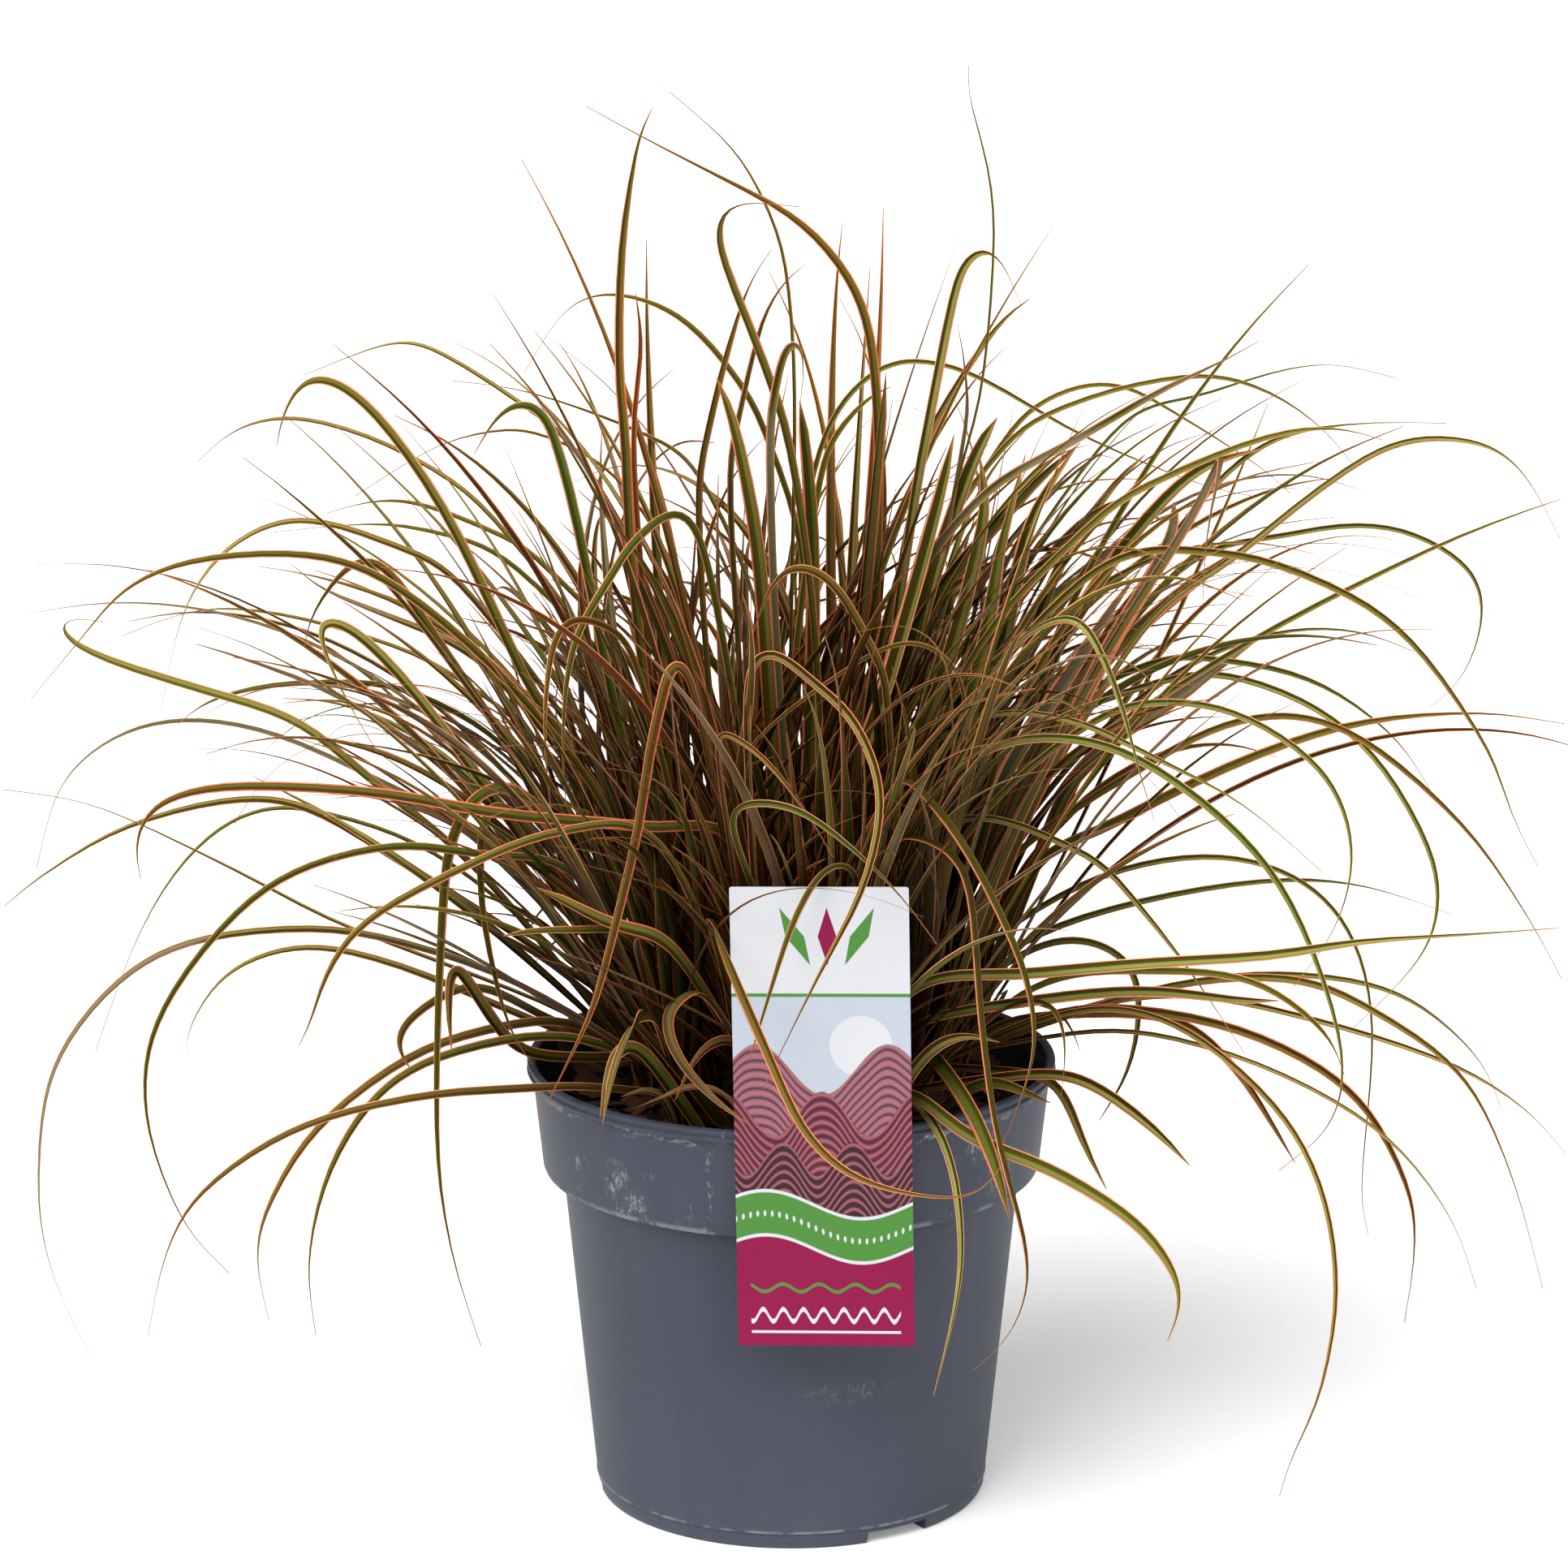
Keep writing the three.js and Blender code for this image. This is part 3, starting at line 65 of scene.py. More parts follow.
# The course of each leaf that can be told apart, as seen from the front: its width, the x and y
# of its root, the y of its tip, and points x, z where it crosses the upright plane of the axis.
TRACED: list[Course] = [
    # Upper left, from the tallest to the lowest.
    (4.4, -30, 12, 20, [-46, 245, -56, 339, -58, 385, -60, 410, -59, 450, -55, 480, -51, 498, -48, 502]),
    (4.3, 15, 10, -10, [26, 250, 30, 345, 30, 395, 26, 429, 16, 449, 0, 465, -24, 478, -51, 492, -71, 503]),
    (1.8, 0, 20, 30, [-2, 250, 0, 330, 1, 405, -2, 447, -8, 467, -19, 487, -35, 502, -42, 508]),
    (4.2, 12, -5, -40, [9, 300, 0, 379, -11, 416, -20, 439, -26, 457, -25, 467, -17, 470, 3, 468]),
    (3.8, -15, 8, 30, [-28, 280, -33, 363, -29, 391, -24, 412, -19, 429, -14, 443, -7, 453]),
    (3.6, -8, 25, 60, [-17, 290, -21, 372, -17, 397, -13, 416, -8, 433, 0, 445, 5, 448]),
    (4.2, 0, 0, -45, [-4, 300, -7, 385, -4, 409, -1, 422, 3, 423, 5, 416, 3, 397]),
    (3.0, 20, 30, 75, [6, 330, -9, 389, -19, 408, -31, 423, -44, 433, -63, 438, -78, 433, -93, 410]),
    (2.6, -35, 25, 40, [-48, 280, -55, 379, -52, 418, -53, 431, -54, 438]),
    (4.4, -35, 0, -30, [-58, 270, -75, 356, -81, 381, -86, 396, -93, 401, -101, 397, -108, 387, -111, 381]),
    (2.0, 5, 40, 90, [-8, 310, -32, 373, -51, 388, -91, 403, -118, 407]),
    (2.2, -15, 30, 60, [-36, 300, -72, 377, -96, 400, -126, 419, -138, 421, -158, 414, -170, 409]),
    (4.6, -40, 0, -20, [
        -75, 262, -94, 300, -121, 359, -146, 396,
        -164, 409, -172, 406, -179, 392, -180, 384,
    ]),
    (1.5, 0, 45, 110, [-22, 290, -55, 365, -87, 388, -106, 389, -126, 383, -153, 366]),
    (2.6, -30, 20, 50, [-62, 290, -103, 356, -135, 381, -167, 393, -186, 393, -199, 387, -208, 378]),
    (3.2, -20, 30, 80, [-50, 290, -87, 341, -107, 354, -133, 364, -149, 364, -163, 360]),
    (2.8, -40, -5, -40, [-78, 240, -116, 300, -141, 334, -161, 354, -179, 370, -192, 380]),
    (2.4, -20, 40, 100, [-50, 280, -96, 340, -129, 354, -152, 356, -183, 353]),
    (2.8, -30, 5, -10, [
        -60, 250, -113, 331, -141, 349, -173, 358,
        -196, 349, -210, 333, -217, 316, -223, 289,
    ]),
    (3.6, -30, -10, -50, [
        -60, 240, -92, 290, -131, 328, -162, 344,
        -204, 344, -233, 334, -252, 313, -269, 293,
    ]),
    (3.4, -45, 5, 10, [-60, 240, -95, 295, -133, 325, -166, 337, -188, 341]),
    (3.6, -45, 20, 50, [-75, 270, -113, 309, -140, 322, -166, 333, -176, 342]),
    (4.5, -45, -15, -60, [-85, 225, -127, 287, -152, 316, -166, 323, -167, 317, -159, 296, -147, 274]),
    (3.8, -45, 0, -30, [-90, 255, -126, 316, -142, 340, -151, 345, -161, 336, -171, 320, -172, 312]),
    (2.0, -30, 35, 90, [-80, 265, -120, 302, -154, 317, -187, 325, -211, 325, -236, 316]),
    (3.0, -50, 10, 30, [-80, 225, -120, 265, -160, 294, -200, 310, -210, 313]),
    (4.2, -48, -8, -20, [
        -110, 228, -148, 262, -176, 285, -211, 297,
        -241, 307, -258, 316, -258, 323, -242, 321,
    ]),
    (2.8, -50, 15, 30, [-90, 262, -132, 295, -170, 299, -195, 296, -211, 290, -217, 284]),
    (2.4, -50, 20, 60, [-95, 232, -155, 268, -196, 284, -231, 283, -258, 264, -269, 231]),
    (3.4, -25, -30, -75, [-53, 301, -67, 320, -77, 324, -83, 318, -87, 293, -87, 268, -85, 249]),
    (3.6, -5, -20, -60, [-30, 345, -52, 353, -65, 334, -75, 318, -80, 296, -81, 268, -80, 253]),
    # Lower left.
    (1.8, -58, 15, -20, [-82, 178, -122, 195, -164, 212, -201, 232, -247, 254, -280, 260]),
    (3.4, -52, 0, -20, [-96, 205, -135, 231, -173, 254, -202, 256, -240, 245, -272, 225, -281, 217]),
    (4.6, -8, -50, -95, [
        -17, 238, -52, 246, -103, 251, -149, 259,
        -202, 261, -228, 253, -234, 237, -232, 227,
    ]),
    (3.4, -20, -45, -110, [-45, 238, -81, 245, -122, 229, -154, 210, -168, 189, -173, 171, -177, 165]),
    (3.4, -30, -40, -90, [
        -74, 226, -111, 236, -146, 239, -189, 223,
        -225, 180, -233, 142, -221, 100, -204, 79,
    ]),
    (5.0, -45, -30, -85, [
        -66, 215, -91, 254, -106, 262, -121, 243,
        -126, 198, -128, 128, -123, 86, -113, 51,
    ]),
    (4.0, -50, -18, -65, [-85, 230, -103, 256, -110, 249, -111, 218, -105, 184, -99, 166, -93, 158]),
    (3.2, -58, -5, -30, [
        -89, 184, -129, 201, -173, 209, -227, 199,
        -263, 161, -272, 113, -268, 78, -255, 47,
    ]),
    (3.2, -56, 15, 40, [-70, 165, -100, 178, -143, 196, -175, 202, -202, 192, -217, 170, -217, 160]),
    (3.6, -48, -35, -95, [-75, 150, -97, 149, -134, 146, -178, 134, -213, 110, -227, 86, -234, 55]),
    (4.0, -58, 0, -25, [-78, 174, -101, 173, -135, 162, -170, 135, -189, 105, -194, 85, -190, 61]),
    (4.0, -56, -20, -45, [-75, 168, -109, 166, -143, 152, -165, 122, -175, 85, -173, 55]),
    (2.0, -52, 22, 70, [-120, 232, -168, 252, -194, 251, -216, 234, -234, 205, -250, 163]),
    (2.8, -56, 8, -10, [-80, 172, -112, 188, -131, 180, -142, 170, -142, 163, -136, 155]),
    (4.0, -54, -12, -45, [-95, 162, -109, 177, -119, 194, -122, 196, -123, 178, -122, 163]),
    (3.8, -15, -48, -95, [-43, 202, -63, 209, -83, 220, -91, 224]),
    (2.2, -30, -42, -95, [-56, 205, -69, 208, -95, 208, -103, 206]),
    (4.6, -25, -50, -105, [-36, 300, -48, 285, -55, 245, -62, 215, -71, 180, -80, 160, -91, 137]),
    (3.2, -40, -45, -112, [-50, 178, -59, 168, -64, 153, -66, 145, -68, 135]),
    (3.4, -20, -55, -112, [-30, 185, -43, 182, -46, 177, -42, 162, -28, 145, -16, 136]),
    # Over the tag.
    (4.2, -8, -52, -175, [-23, 189, -29, 214, -19, 188, -7, 159, 4, 134, 20, 117, 43, 109, 67, 108, 76, 120]),
    (3.6, 5, -45, -125, [-15, 301, 11, 296, 24, 282, 32, 257, 26, 225, 12, 196, 1, 173, -10, 149]),
    (2.8, 20, -50, -122, [24, 225, 17, 234, 10, 230, 0, 210, -8, 184, -15, 160]),
    (2.4, -22, -45, -100, [-26, 272, -21, 279, -12, 274, -1, 261, 9, 246, 15, 235]),
    (3.0, -15, -50, -118, [-21, 245, -9, 255, 4, 252, 22, 238, 39, 221, 52, 203]),
    (1.8, 35, -35, -70, [61, 280, 55, 308, 38, 314, 11, 298, -12, 279, -26, 257, -29, 242, -27, 233]),
    (3.8, 28, -25, -80, [34, 289, 28, 311, 15, 335, 3, 342, -5, 339, -12, 322, -16, 309]),
    # Over the right of the pot.
    (4.6, 32, -40, -112, [37, 259, 49, 257, 62, 240, 75, 215, 85, 190, 88, 165, 82, 142, 75, 125]),
    (4.4, 25, -48, -125, [
        36, 237, 48, 242, 59, 237, 65, 220, 69, 173,
        75, 131, 85, 92, 86, 72, 79, 54, 67, 42,
    ]),
    (4.6, 28, -56, -118, [49, 163, 61, 149, 70, 132, 76, 114, 79, 100]),
    (3.2, 22, -58, -128, [33, 148, 41, 148, 49, 140, 55, 130, 60, 112, 62, 85, 59, 62, 52, 32]),
    (5.4, 36, -56, -125, [43, 148, 51, 142, 66, 130, 95, 118, 123, 100, 136, 85, 142, 72, 140, 59, 137, 53]),
    (3.4, 50, -30, -70, [93, 155, 113, 148, 133, 132, 144, 120]),
    (2.6, 52, -22, -75, [90, 154, 99, 145, 106, 127, 114, 111]),
    # Lower right.
    (2.6, 50, -15, -135, [100, 178, 136, 174, 172, 145, 191, 113, 198, 73, 193, 33, 183, 8, 179, -7]),
    (4.8, 20, -50, -120, [43, 187, 84, 192, 126, 196, 172, 199, 203, 204, 248, 207, 274, 209]),
    (4.2, 36, -44, -95, [43, 173, 84, 182, 126, 186, 162, 182, 175, 182]),
    (3.2, 42, -38, -80, [88, 188, 135, 193, 166, 189, 188, 174, 196, 164, 199, 154]),
    (4.0, 55, -8, -40, [96, 178, 136, 177, 173, 166, 204, 145, 223, 111, 226, 87, 223, 60]),
    (3.6, 50, 5, -15, [100, 177, 142, 189, 181, 190, 209, 178, 241, 154, 260, 117, 273, 73]),
    (2.8, 56, 6, 30, [100, 178, 142, 184, 191, 174, 238, 158, 265, 141, 280, 124]),
    (3.0, 46, 24, 60, [80, 172, 134, 187, 176, 192, 217, 185, 246, 162, 256, 141]),
    (2.2, 58, -2, -60, [112, 171, 149, 165, 186, 150, 217, 129, 239, 100, 249, 73]),
    (3.4, 52, 15, 10, [80, 175, 134, 176, 158, 159, 174, 135, 182, 121]),
    (3.0, 46, 16, 70, [80, 198, 103, 205, 121, 196, 125, 178, 121, 155, 111, 137]),
    (3.0, 10, -20, -65, [50, 245, 102, 238, 126, 215, 145, 190, 163, 162]),
    (2.8, 42, 5, 20, [60, 195, 108, 227, 156, 235, 192, 218, 208, 178, 206, 111, 209, 94]),
    (3.0, 40, 30, 70, [80, 202, 118, 217, 166, 226, 202, 225, 236, 214]),
    # Upper right.
    (4.5, 12, 5, 5, [27, 250, 42, 359, 49, 399, 55, 431, 60, 450, 68, 455, 73, 450, 80, 433]),
    (3.4, 15, 25, 50, [27, 270, 45, 377, 54, 399, 69, 423, 79, 434, 83, 436]),
    (1.5, 22, 10, 0, [37, 270, 56, 363, 66, 403, 70, 450, 69, 476, 63, 500, 60, 510, 61, 517]),
    (2.6, 28, 15, 10, [45, 285, 61, 388, 62, 399, 60, 418, 58, 427]),
    (3.6, -5, 20, 60, [0, 290, 11, 375, 20, 393, 30, 404, 35, 405]),
    (2.8, -10, 35, 90, [0, 330, 12, 388, 30, 411, 46, 414, 66, 408, 103, 387, 144, 370, 162, 366]),
    (3.8, 15, 0, -30, [35, 310, 64, 363, 100, 386, 130, 404, 149, 413, 163, 421]),
    (2.4, 20, 35, 80, [40, 320, 72, 381, 101, 400, 142, 409, 167, 403, 186, 390, 197, 377]),
    (2.4, 15, 42, 110, [35, 310, 72, 382, 90, 401, 113, 406, 135, 395, 165, 376, 175, 367]),
    (1.6, 28, 38, 90, [55, 290, 110, 386, 144, 402, 183, 413, 211, 408]),
    (3.0, 35, 15, 30, [72, 250, 128, 342, 149, 371, 170, 387, 199, 392, 229, 392]),
    (3.2, 20, -10, -50, [55, 290, 104, 355, 138, 376, 173, 389, 194, 390, 207, 386]),
    (4.8, 35, -12, -70, [75, 235, 107, 303, 138, 355, 149, 378, 152, 385, 150, 374, 146, 352, 145, 327]),
    (3.8, 38, 0, -10, [66, 215, 121, 315, 155, 344, 189, 372, 214, 386, 242, 385, 257, 374, 270, 351]),
    (3.4, 40, 8, 10, [58, 215, 92, 265, 132, 294, 173, 320, 227, 348, 261, 362, 270, 365]),
    (2.6, 30, 30, 60, [60, 230, 131, 334, 174, 352, 210, 355, 238, 341, 244, 323, 237, 300, 226, 290]),
    (3.4, 25, -25, -60, [50, 265, 105, 338, 150, 346, 190, 334, 219, 314, 247, 275, 256, 251, 266, 232]),
    (4.4, 50, 12, 20, [85, 229, 112, 246, 159, 270, 200, 284, 243, 288, 274, 284]),
    (3.0, 38, -20, -60, [60, 240, 107, 285, 137, 292, 164, 285, 190, 265, 200, 238, 195, 210, 180, 187]),
    (3.2, 46, 2, -40, [70, 225, 129, 271, 167, 287, 200, 280, 238, 248, 262, 215, 276, 190]),
    (3.0, 40, 12, 20, [75, 270, 124, 305, 153, 307, 186, 299, 214, 279, 228, 258]),
    (3.0, 42, 22, 40, [70, 265, 132, 300, 170, 297, 204, 275, 228, 236, 230, 209, 220, 191, 201, 171]),
    (3.8, 22, -38, -95, [40, 240, 65, 273, 100, 279, 135, 264, 173, 227, 196, 172, 196, 138, 176, 118]),
    (3.0, 10, -35, -75, [35, 255, 64, 286, 98, 286, 130, 271, 160, 255, 189, 230]),
    (3.4, 30, -30, -85, [64, 290, 96, 324, 108, 312, 117, 290, 123, 268, 129, 249]),
]


def linear(red: float, green: float, blue: float) -> Colour:
    """A colour as seen, in steps of 0 to 255, as linear values."""
    values = [s / 12.92 if s <= 0.04045 else ((s + 0.055) / 1.055) ** 2.4
              for s in (red / 255, green / 255, blue / 255)]
    return values[0], values[1], values[2]


class Draw:
    """A repeatable draw between 0 and 1, the same as the one that shapes the solids."""

    def __init__(self, seed: int) -> None:
        """Starts the draw at a whole number."""
        self.state = seed

    def next(self) -> float:
        """The next number."""
        self.state = (self.state * 1664525 + 1013904223) % 4294967296
        return self.state / 4294967296

    def between(self, low: float, high: float) -> float:
        """The next number, spread over a range."""
        return low + (high - low) * self.next()


def operator(operation: str, swapped: bool = False) -> Callable[["Signal", "Value"], "Signal"]:
    """An operator between a signal and another value.

    Args:
        operation: The Math node's operation.
        swapped: Whether the other value comes first, as in 1 - mask.

    Returns:
        The operator, which adds one Math node.
    """
    def apply(signal: "Signal", other: "Value") -> "Signal":
        """The result for a signal and another value."""
        return signal.math(operation, *((other, signal) if swapped else (signal, other)))

    return apply


class Signal:
    """A node's output that can stand in an expression, as in 1 - mask * 0.5."""

    __add__, __radd__ = operator("ADD"), operator("ADD", True)
    __sub__, __rsub__ = operator("SUBTRACT"), operator("SUBTRACT", True)
    __mul__, __rmul__ = operator("MULTIPLY"), operator("MULTIPLY", True)
    __truediv__, __rtruediv__ = operator("DIVIDE"), operator("DIVIDE", True)
    __pow__ = operator("POWER")

    def __init__(self, graph: "Graph", socket: bpy.types.NodeSocket) -> None:
        """Wraps an output socket of a graph's node."""
        self.graph = graph
        self.socket = socket

    def math(self, operation: str, *values: "Value") -> "Signal":
        """One Math node with the given operation and inputs."""
        inputs = dict(enumerate(values))
        return self.graph.node("ShaderNodeMath", {"operation": operation}, inputs)["Value"]

    def __abs__(self) -> "Signal":
        """The size without its sign."""
        return self.math("ABSOLUTE", self)

    def sine(self) -> "Signal":
        """The sine of an angle in radians."""
        return self.math("SINE", self)

    def clamp(self) -> "Signal":
        """The value kept between 0 and 1."""
        return self.math("MINIMUM", self.math("MAXIMUM", self, 0.0), 1.0)

    def rise(self, low: float, high: float) -> "Signal":
        """A smooth step.

        Args:
            low: The value at which the step starts at 0.
            high: The value at which it reaches 1.

        Returns:
            The step, between 0 and 1.
        """
        settings = {"interpolation_type": "SMOOTHSTEP"}
        inputs = {"Value": self, "From Min": low, "From Max": high}
        return self.graph.node("ShaderNodeMapRange", settings, inputs)["Result"]


Value = Union[Signal, float, int, bool, str, Sequence[float], bpy.types.ID]


class Graph:
    """The node tree of a material or of a Geometry Nodes modifier, built in the script."""

    def __init__(self, tree: bpy.types.NodeTree) -> None:
        """Starts on an empty tree."""
        self.tree = tree

    def node(self, kind: str, settings: Optional[dict[str, Any]] = None,
             inputs: Optional[dict[Any, "Value"]] = None) -> dict[str, Signal]:
        """Adds one node.

        Args:
            kind: The node's type.
            settings: Its properties, which are set first.
            inputs: Values or signals by socket name, identifier or number.

        Returns:
            Its outputs by identifier and by name.
        """
        node = self.tree.nodes.new(kind)
        for name, setting in (settings or {}).items():
            setattr(node, name, setting)
        for name, value in (inputs or {}).items():
            self._feed(self._socket(node, name), value)
        outputs = {socket.name: Signal(self, socket) for socket in reversed(node.outputs)}
        outputs.update({socket.identifier: Signal(self, socket) for socket in node.outputs})
        return outputs

    @staticmethod
    def _socket(node: bpy.types.Node, name: Union[str, int]) -> bpy.types.NodeSocket:
        """An input socket by number, identifier or name."""
        found = [socket for socket in node.inputs if socket.identifier == name]
        return found[0] if found else node.inputs[name]

    def _feed(self, socket: bpy.types.NodeSocket, value: "Value") -> None:
        """Links a signal to a socket, or sets the socket's value."""
        if isinstance(value, Signal):
            self.tree.links.new(value.socket, socket)
        elif socket.type == "RGBA" and len(value) == 3:
            socket.default_value = (*value, 1)
        else:
            socket.default_value = value


class Paint(Graph):
    """The node tree of one material."""

    def __init__(self, name: str) -> None:
        """Makes a material with one Principled shader.

        Args:
            name: The material's name.
        """
        self.material = bpy.data.materials.new(name)
        self.material.use_nodes = True
        super().__init__(self.material.node_tree)
        self.shader = self.tree.nodes["Principled BSDF"]
        self.place = self.node("ShaderNodeTexCoord")["Object"]

    def finish(self, **inputs: "Value") -> bpy.types.Material:
        """Feeds the shader, by socket names with _ for a space, and gives the material."""
        for name, value in inputs.items():
            self._feed(self.shader.inputs[name.replace("_", " ")], value)
        return self.material

    def attribute(self, name: str) -> Signal:
        """A number that the mesh carries."""
        return self.node("ShaderNodeAttribute", {"attribute_name": name})["Fac"]

    def axes(self, vector: Signal) -> tuple[Signal, Signal, Signal]:
        """The three parts of a vector."""
        parts = self.node("ShaderNodeSeparateXYZ", None, {"Vector": vector})
        return parts["X"], parts["Y"], parts["Z"]

    def stretched(self, x: float, y: float, z: float) -> Signal:
        """The place on the object, scaled along each axis."""
        inputs = {"Vector": self.place, "Scale": (x, y, z)}
        return self.node("ShaderNodeMapping", None, inputs)["Vector"]

    def noise(self, scale: float, detail: float = 2, vector: Optional[Signal] = None,
              rough: float = 0.5) -> Signal:
        """Noise between 0 and 1.

        Args:
            scale: Waves to a metre.
            detail: Finer layers.
            vector: Where it is read, or None for the place on the object.
            rough: Weight of the finer layers.

        Returns:
            The noise.
        """
        inputs = {"Vector": vector or self.place, "Scale": scale, "Detail": detail, "Roughness": rough}
        return self.node("ShaderNodeTexNoise", None, inputs)["Fac"]

    def mix(self, share: "Value", first: "Value", second: "Value", blend: str = "MIX") -> Signal:
        """Mixes two colours by a share of the second."""
        inputs = {"Factor_Float": share, "A_Color": first, "B_Color": second}
        return self.node("ShaderNodeMix", {"data_type": "RGBA", "blend_type": blend}, inputs)["Result_Color"]

    def bump(self, height: Signal, strength: float, distance: float) -> Signal:
        """A normal from a height, with its distance in metres."""
        inputs = {"Height": height, "Strength": strength, "Distance": distance}
        return self.node("ShaderNodeBump", None, inputs)["Normal"]


class Recipe(Graph):
    """The tree of a Geometry Nodes modifier, with named inputs."""

    def __init__(self, name: str, sockets: dict[str, str]) -> None:
        """Makes a tree with a geometry input and output.

        Args:
            name: The tree's name.
            sockets: The type of each other input by its name.
        """
        super().__init__(bpy.data.node_groups.new(name, "GeometryNodeTree"))
        face = self.tree.interface
        face.new_socket("Geometry", in_out="INPUT", socket_type="NodeSocketGeometry")
        for label, kind in sockets.items():
            face.new_socket(label, in_out="INPUT", socket_type="NodeSocket" + kind)
        face.new_socket("Geometry", in_out="OUTPUT", socket_type="NodeSocketGeometry")
        self.given = self.node("NodeGroupInput")

    def end(self, geometry: Signal) -> None:
        """Realizes the instances, sets the material and ends the tree.

        Args:
            geometry: The finished geometry.
        """
        real = self.node("GeometryNodeRealizeInstances", None, {"Geometry": geometry})["Geometry"]
        inputs = {"Geometry": real, "Material": self.given["Material"]}
        dressed = self.node("GeometryNodeSetMaterial", None, inputs)["Geometry"]
        self.node("NodeGroupOutput", None, {"Geometry": dressed})

    def named(self, name: str, kind: str = "FLOAT") -> Signal:
        """An attribute that the input carries."""
        settings = {"data_type": kind}
        return self.node("GeometryNodeInputNamedAttribute", settings, {"Name": name})["Attribute"]

    def store(self, geometry: Signal, name: str, value: "Value") -> Signal:
        """Keeps a number on each point under a name."""
        inputs = {"Geometry": geometry, "Name": name, "Value": value}
        return self.node("GeometryNodeStoreNamedAttribute", {"data_type": "FLOAT"}, inputs)["Geometry"]

    def apply(self, piece: bpy.types.Object, values: dict[str, Any]) -> bpy.types.Object:
        """Shapes an object and leaves a plain mesh on it.

        Args:
            piece: The object to shape.
            values: The named inputs.

        Returns:
            The same object, with the shaped mesh.
        """
        modifier = piece.modifiers.new("shape", "NODES")
        modifier.node_group = self.tree
        for item in self.tree.interface.items_tree:
            if item.item_type == "SOCKET" and item.in_out == "INPUT" and item.name in values:
                modifier[item.identifier] = values[item.name]
        settle(piece)
        return piece


def settle(piece: bpy.types.Object) -> None:
    """Turns an object with modifiers into a plain mesh without them.

    Args:
        piece: The object.
    """
    graph = bpy.context.evaluated_depsgraph_get()
    shaped = bpy.data.meshes.new_from_object(piece.evaluated_get(graph))
    shaped.name = piece.name
    piece.modifiers.clear()
    piece.data = shaped


def new_piece(name: str, mesh: bpy.types.Mesh) -> bpy.types.Object:
    """A scene object at the origin.

    Args:
        name: Its name.
        mesh: Its mesh.

    Returns:
        The object.
    """
    piece = bpy.data.objects.new(name, mesh)
    bpy.context.scene.collection.objects.link(piece)
    return piece


def from_faces(name: str, points: Array, faces: Sequence[Sequence[int]]) -> bpy.types.Object:
    """An object from points and faces.

    Args:
        name: Its name.
        points: The points in millimetres.
        faces: The faces as numbers of points.

    Returns:
        The object.
    """
    mesh = bpy.data.meshes.new(name)
    mesh.from_pydata((np.asarray(points, float) * MM).tolist(), [], [list(face) for face in faces])
    mesh.validate()
    return new_piece(name, mesh)


def tidy_mesh(piece: bpy.types.Object, sharp: float = 35) -> None:
    """Merges doubles, points the faces outwards and smooths all but the sharp edges.

    Args:
        piece: The object.
        sharp: The angle in degrees from which an edge stays sharp.
    """
    shape = bmesh.new()
    shape.from_mesh(piece.data)
    bmesh.ops.remove_doubles(shape, verts=shape.verts, dist=1e-6)
    bmesh.ops.recalc_face_normals(shape, faces=shape.faces)
    for face in shape.faces:
        face.smooth = True
    for edge in shape.edges:
        edge.smooth = len(edge.link_faces) != 2 or edge.calc_face_angle(0) < math.radians(sharp)
    shape.to_mesh(piece.data)
    shape.free()


def seat(piece: bpy.types.Object, nodes: Sequence[str] = ()) -> None:
    """Puts a finished piece in its place.

    Args:
        piece: The piece, which rides on the object's body.
        nodes: The nodes whose solids it stands for.
    """
    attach(piece, "root")
    if nodes:
        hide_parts(*nodes)
    log.info("%s: %d faces", piece.name, len(piece.data.polygons))


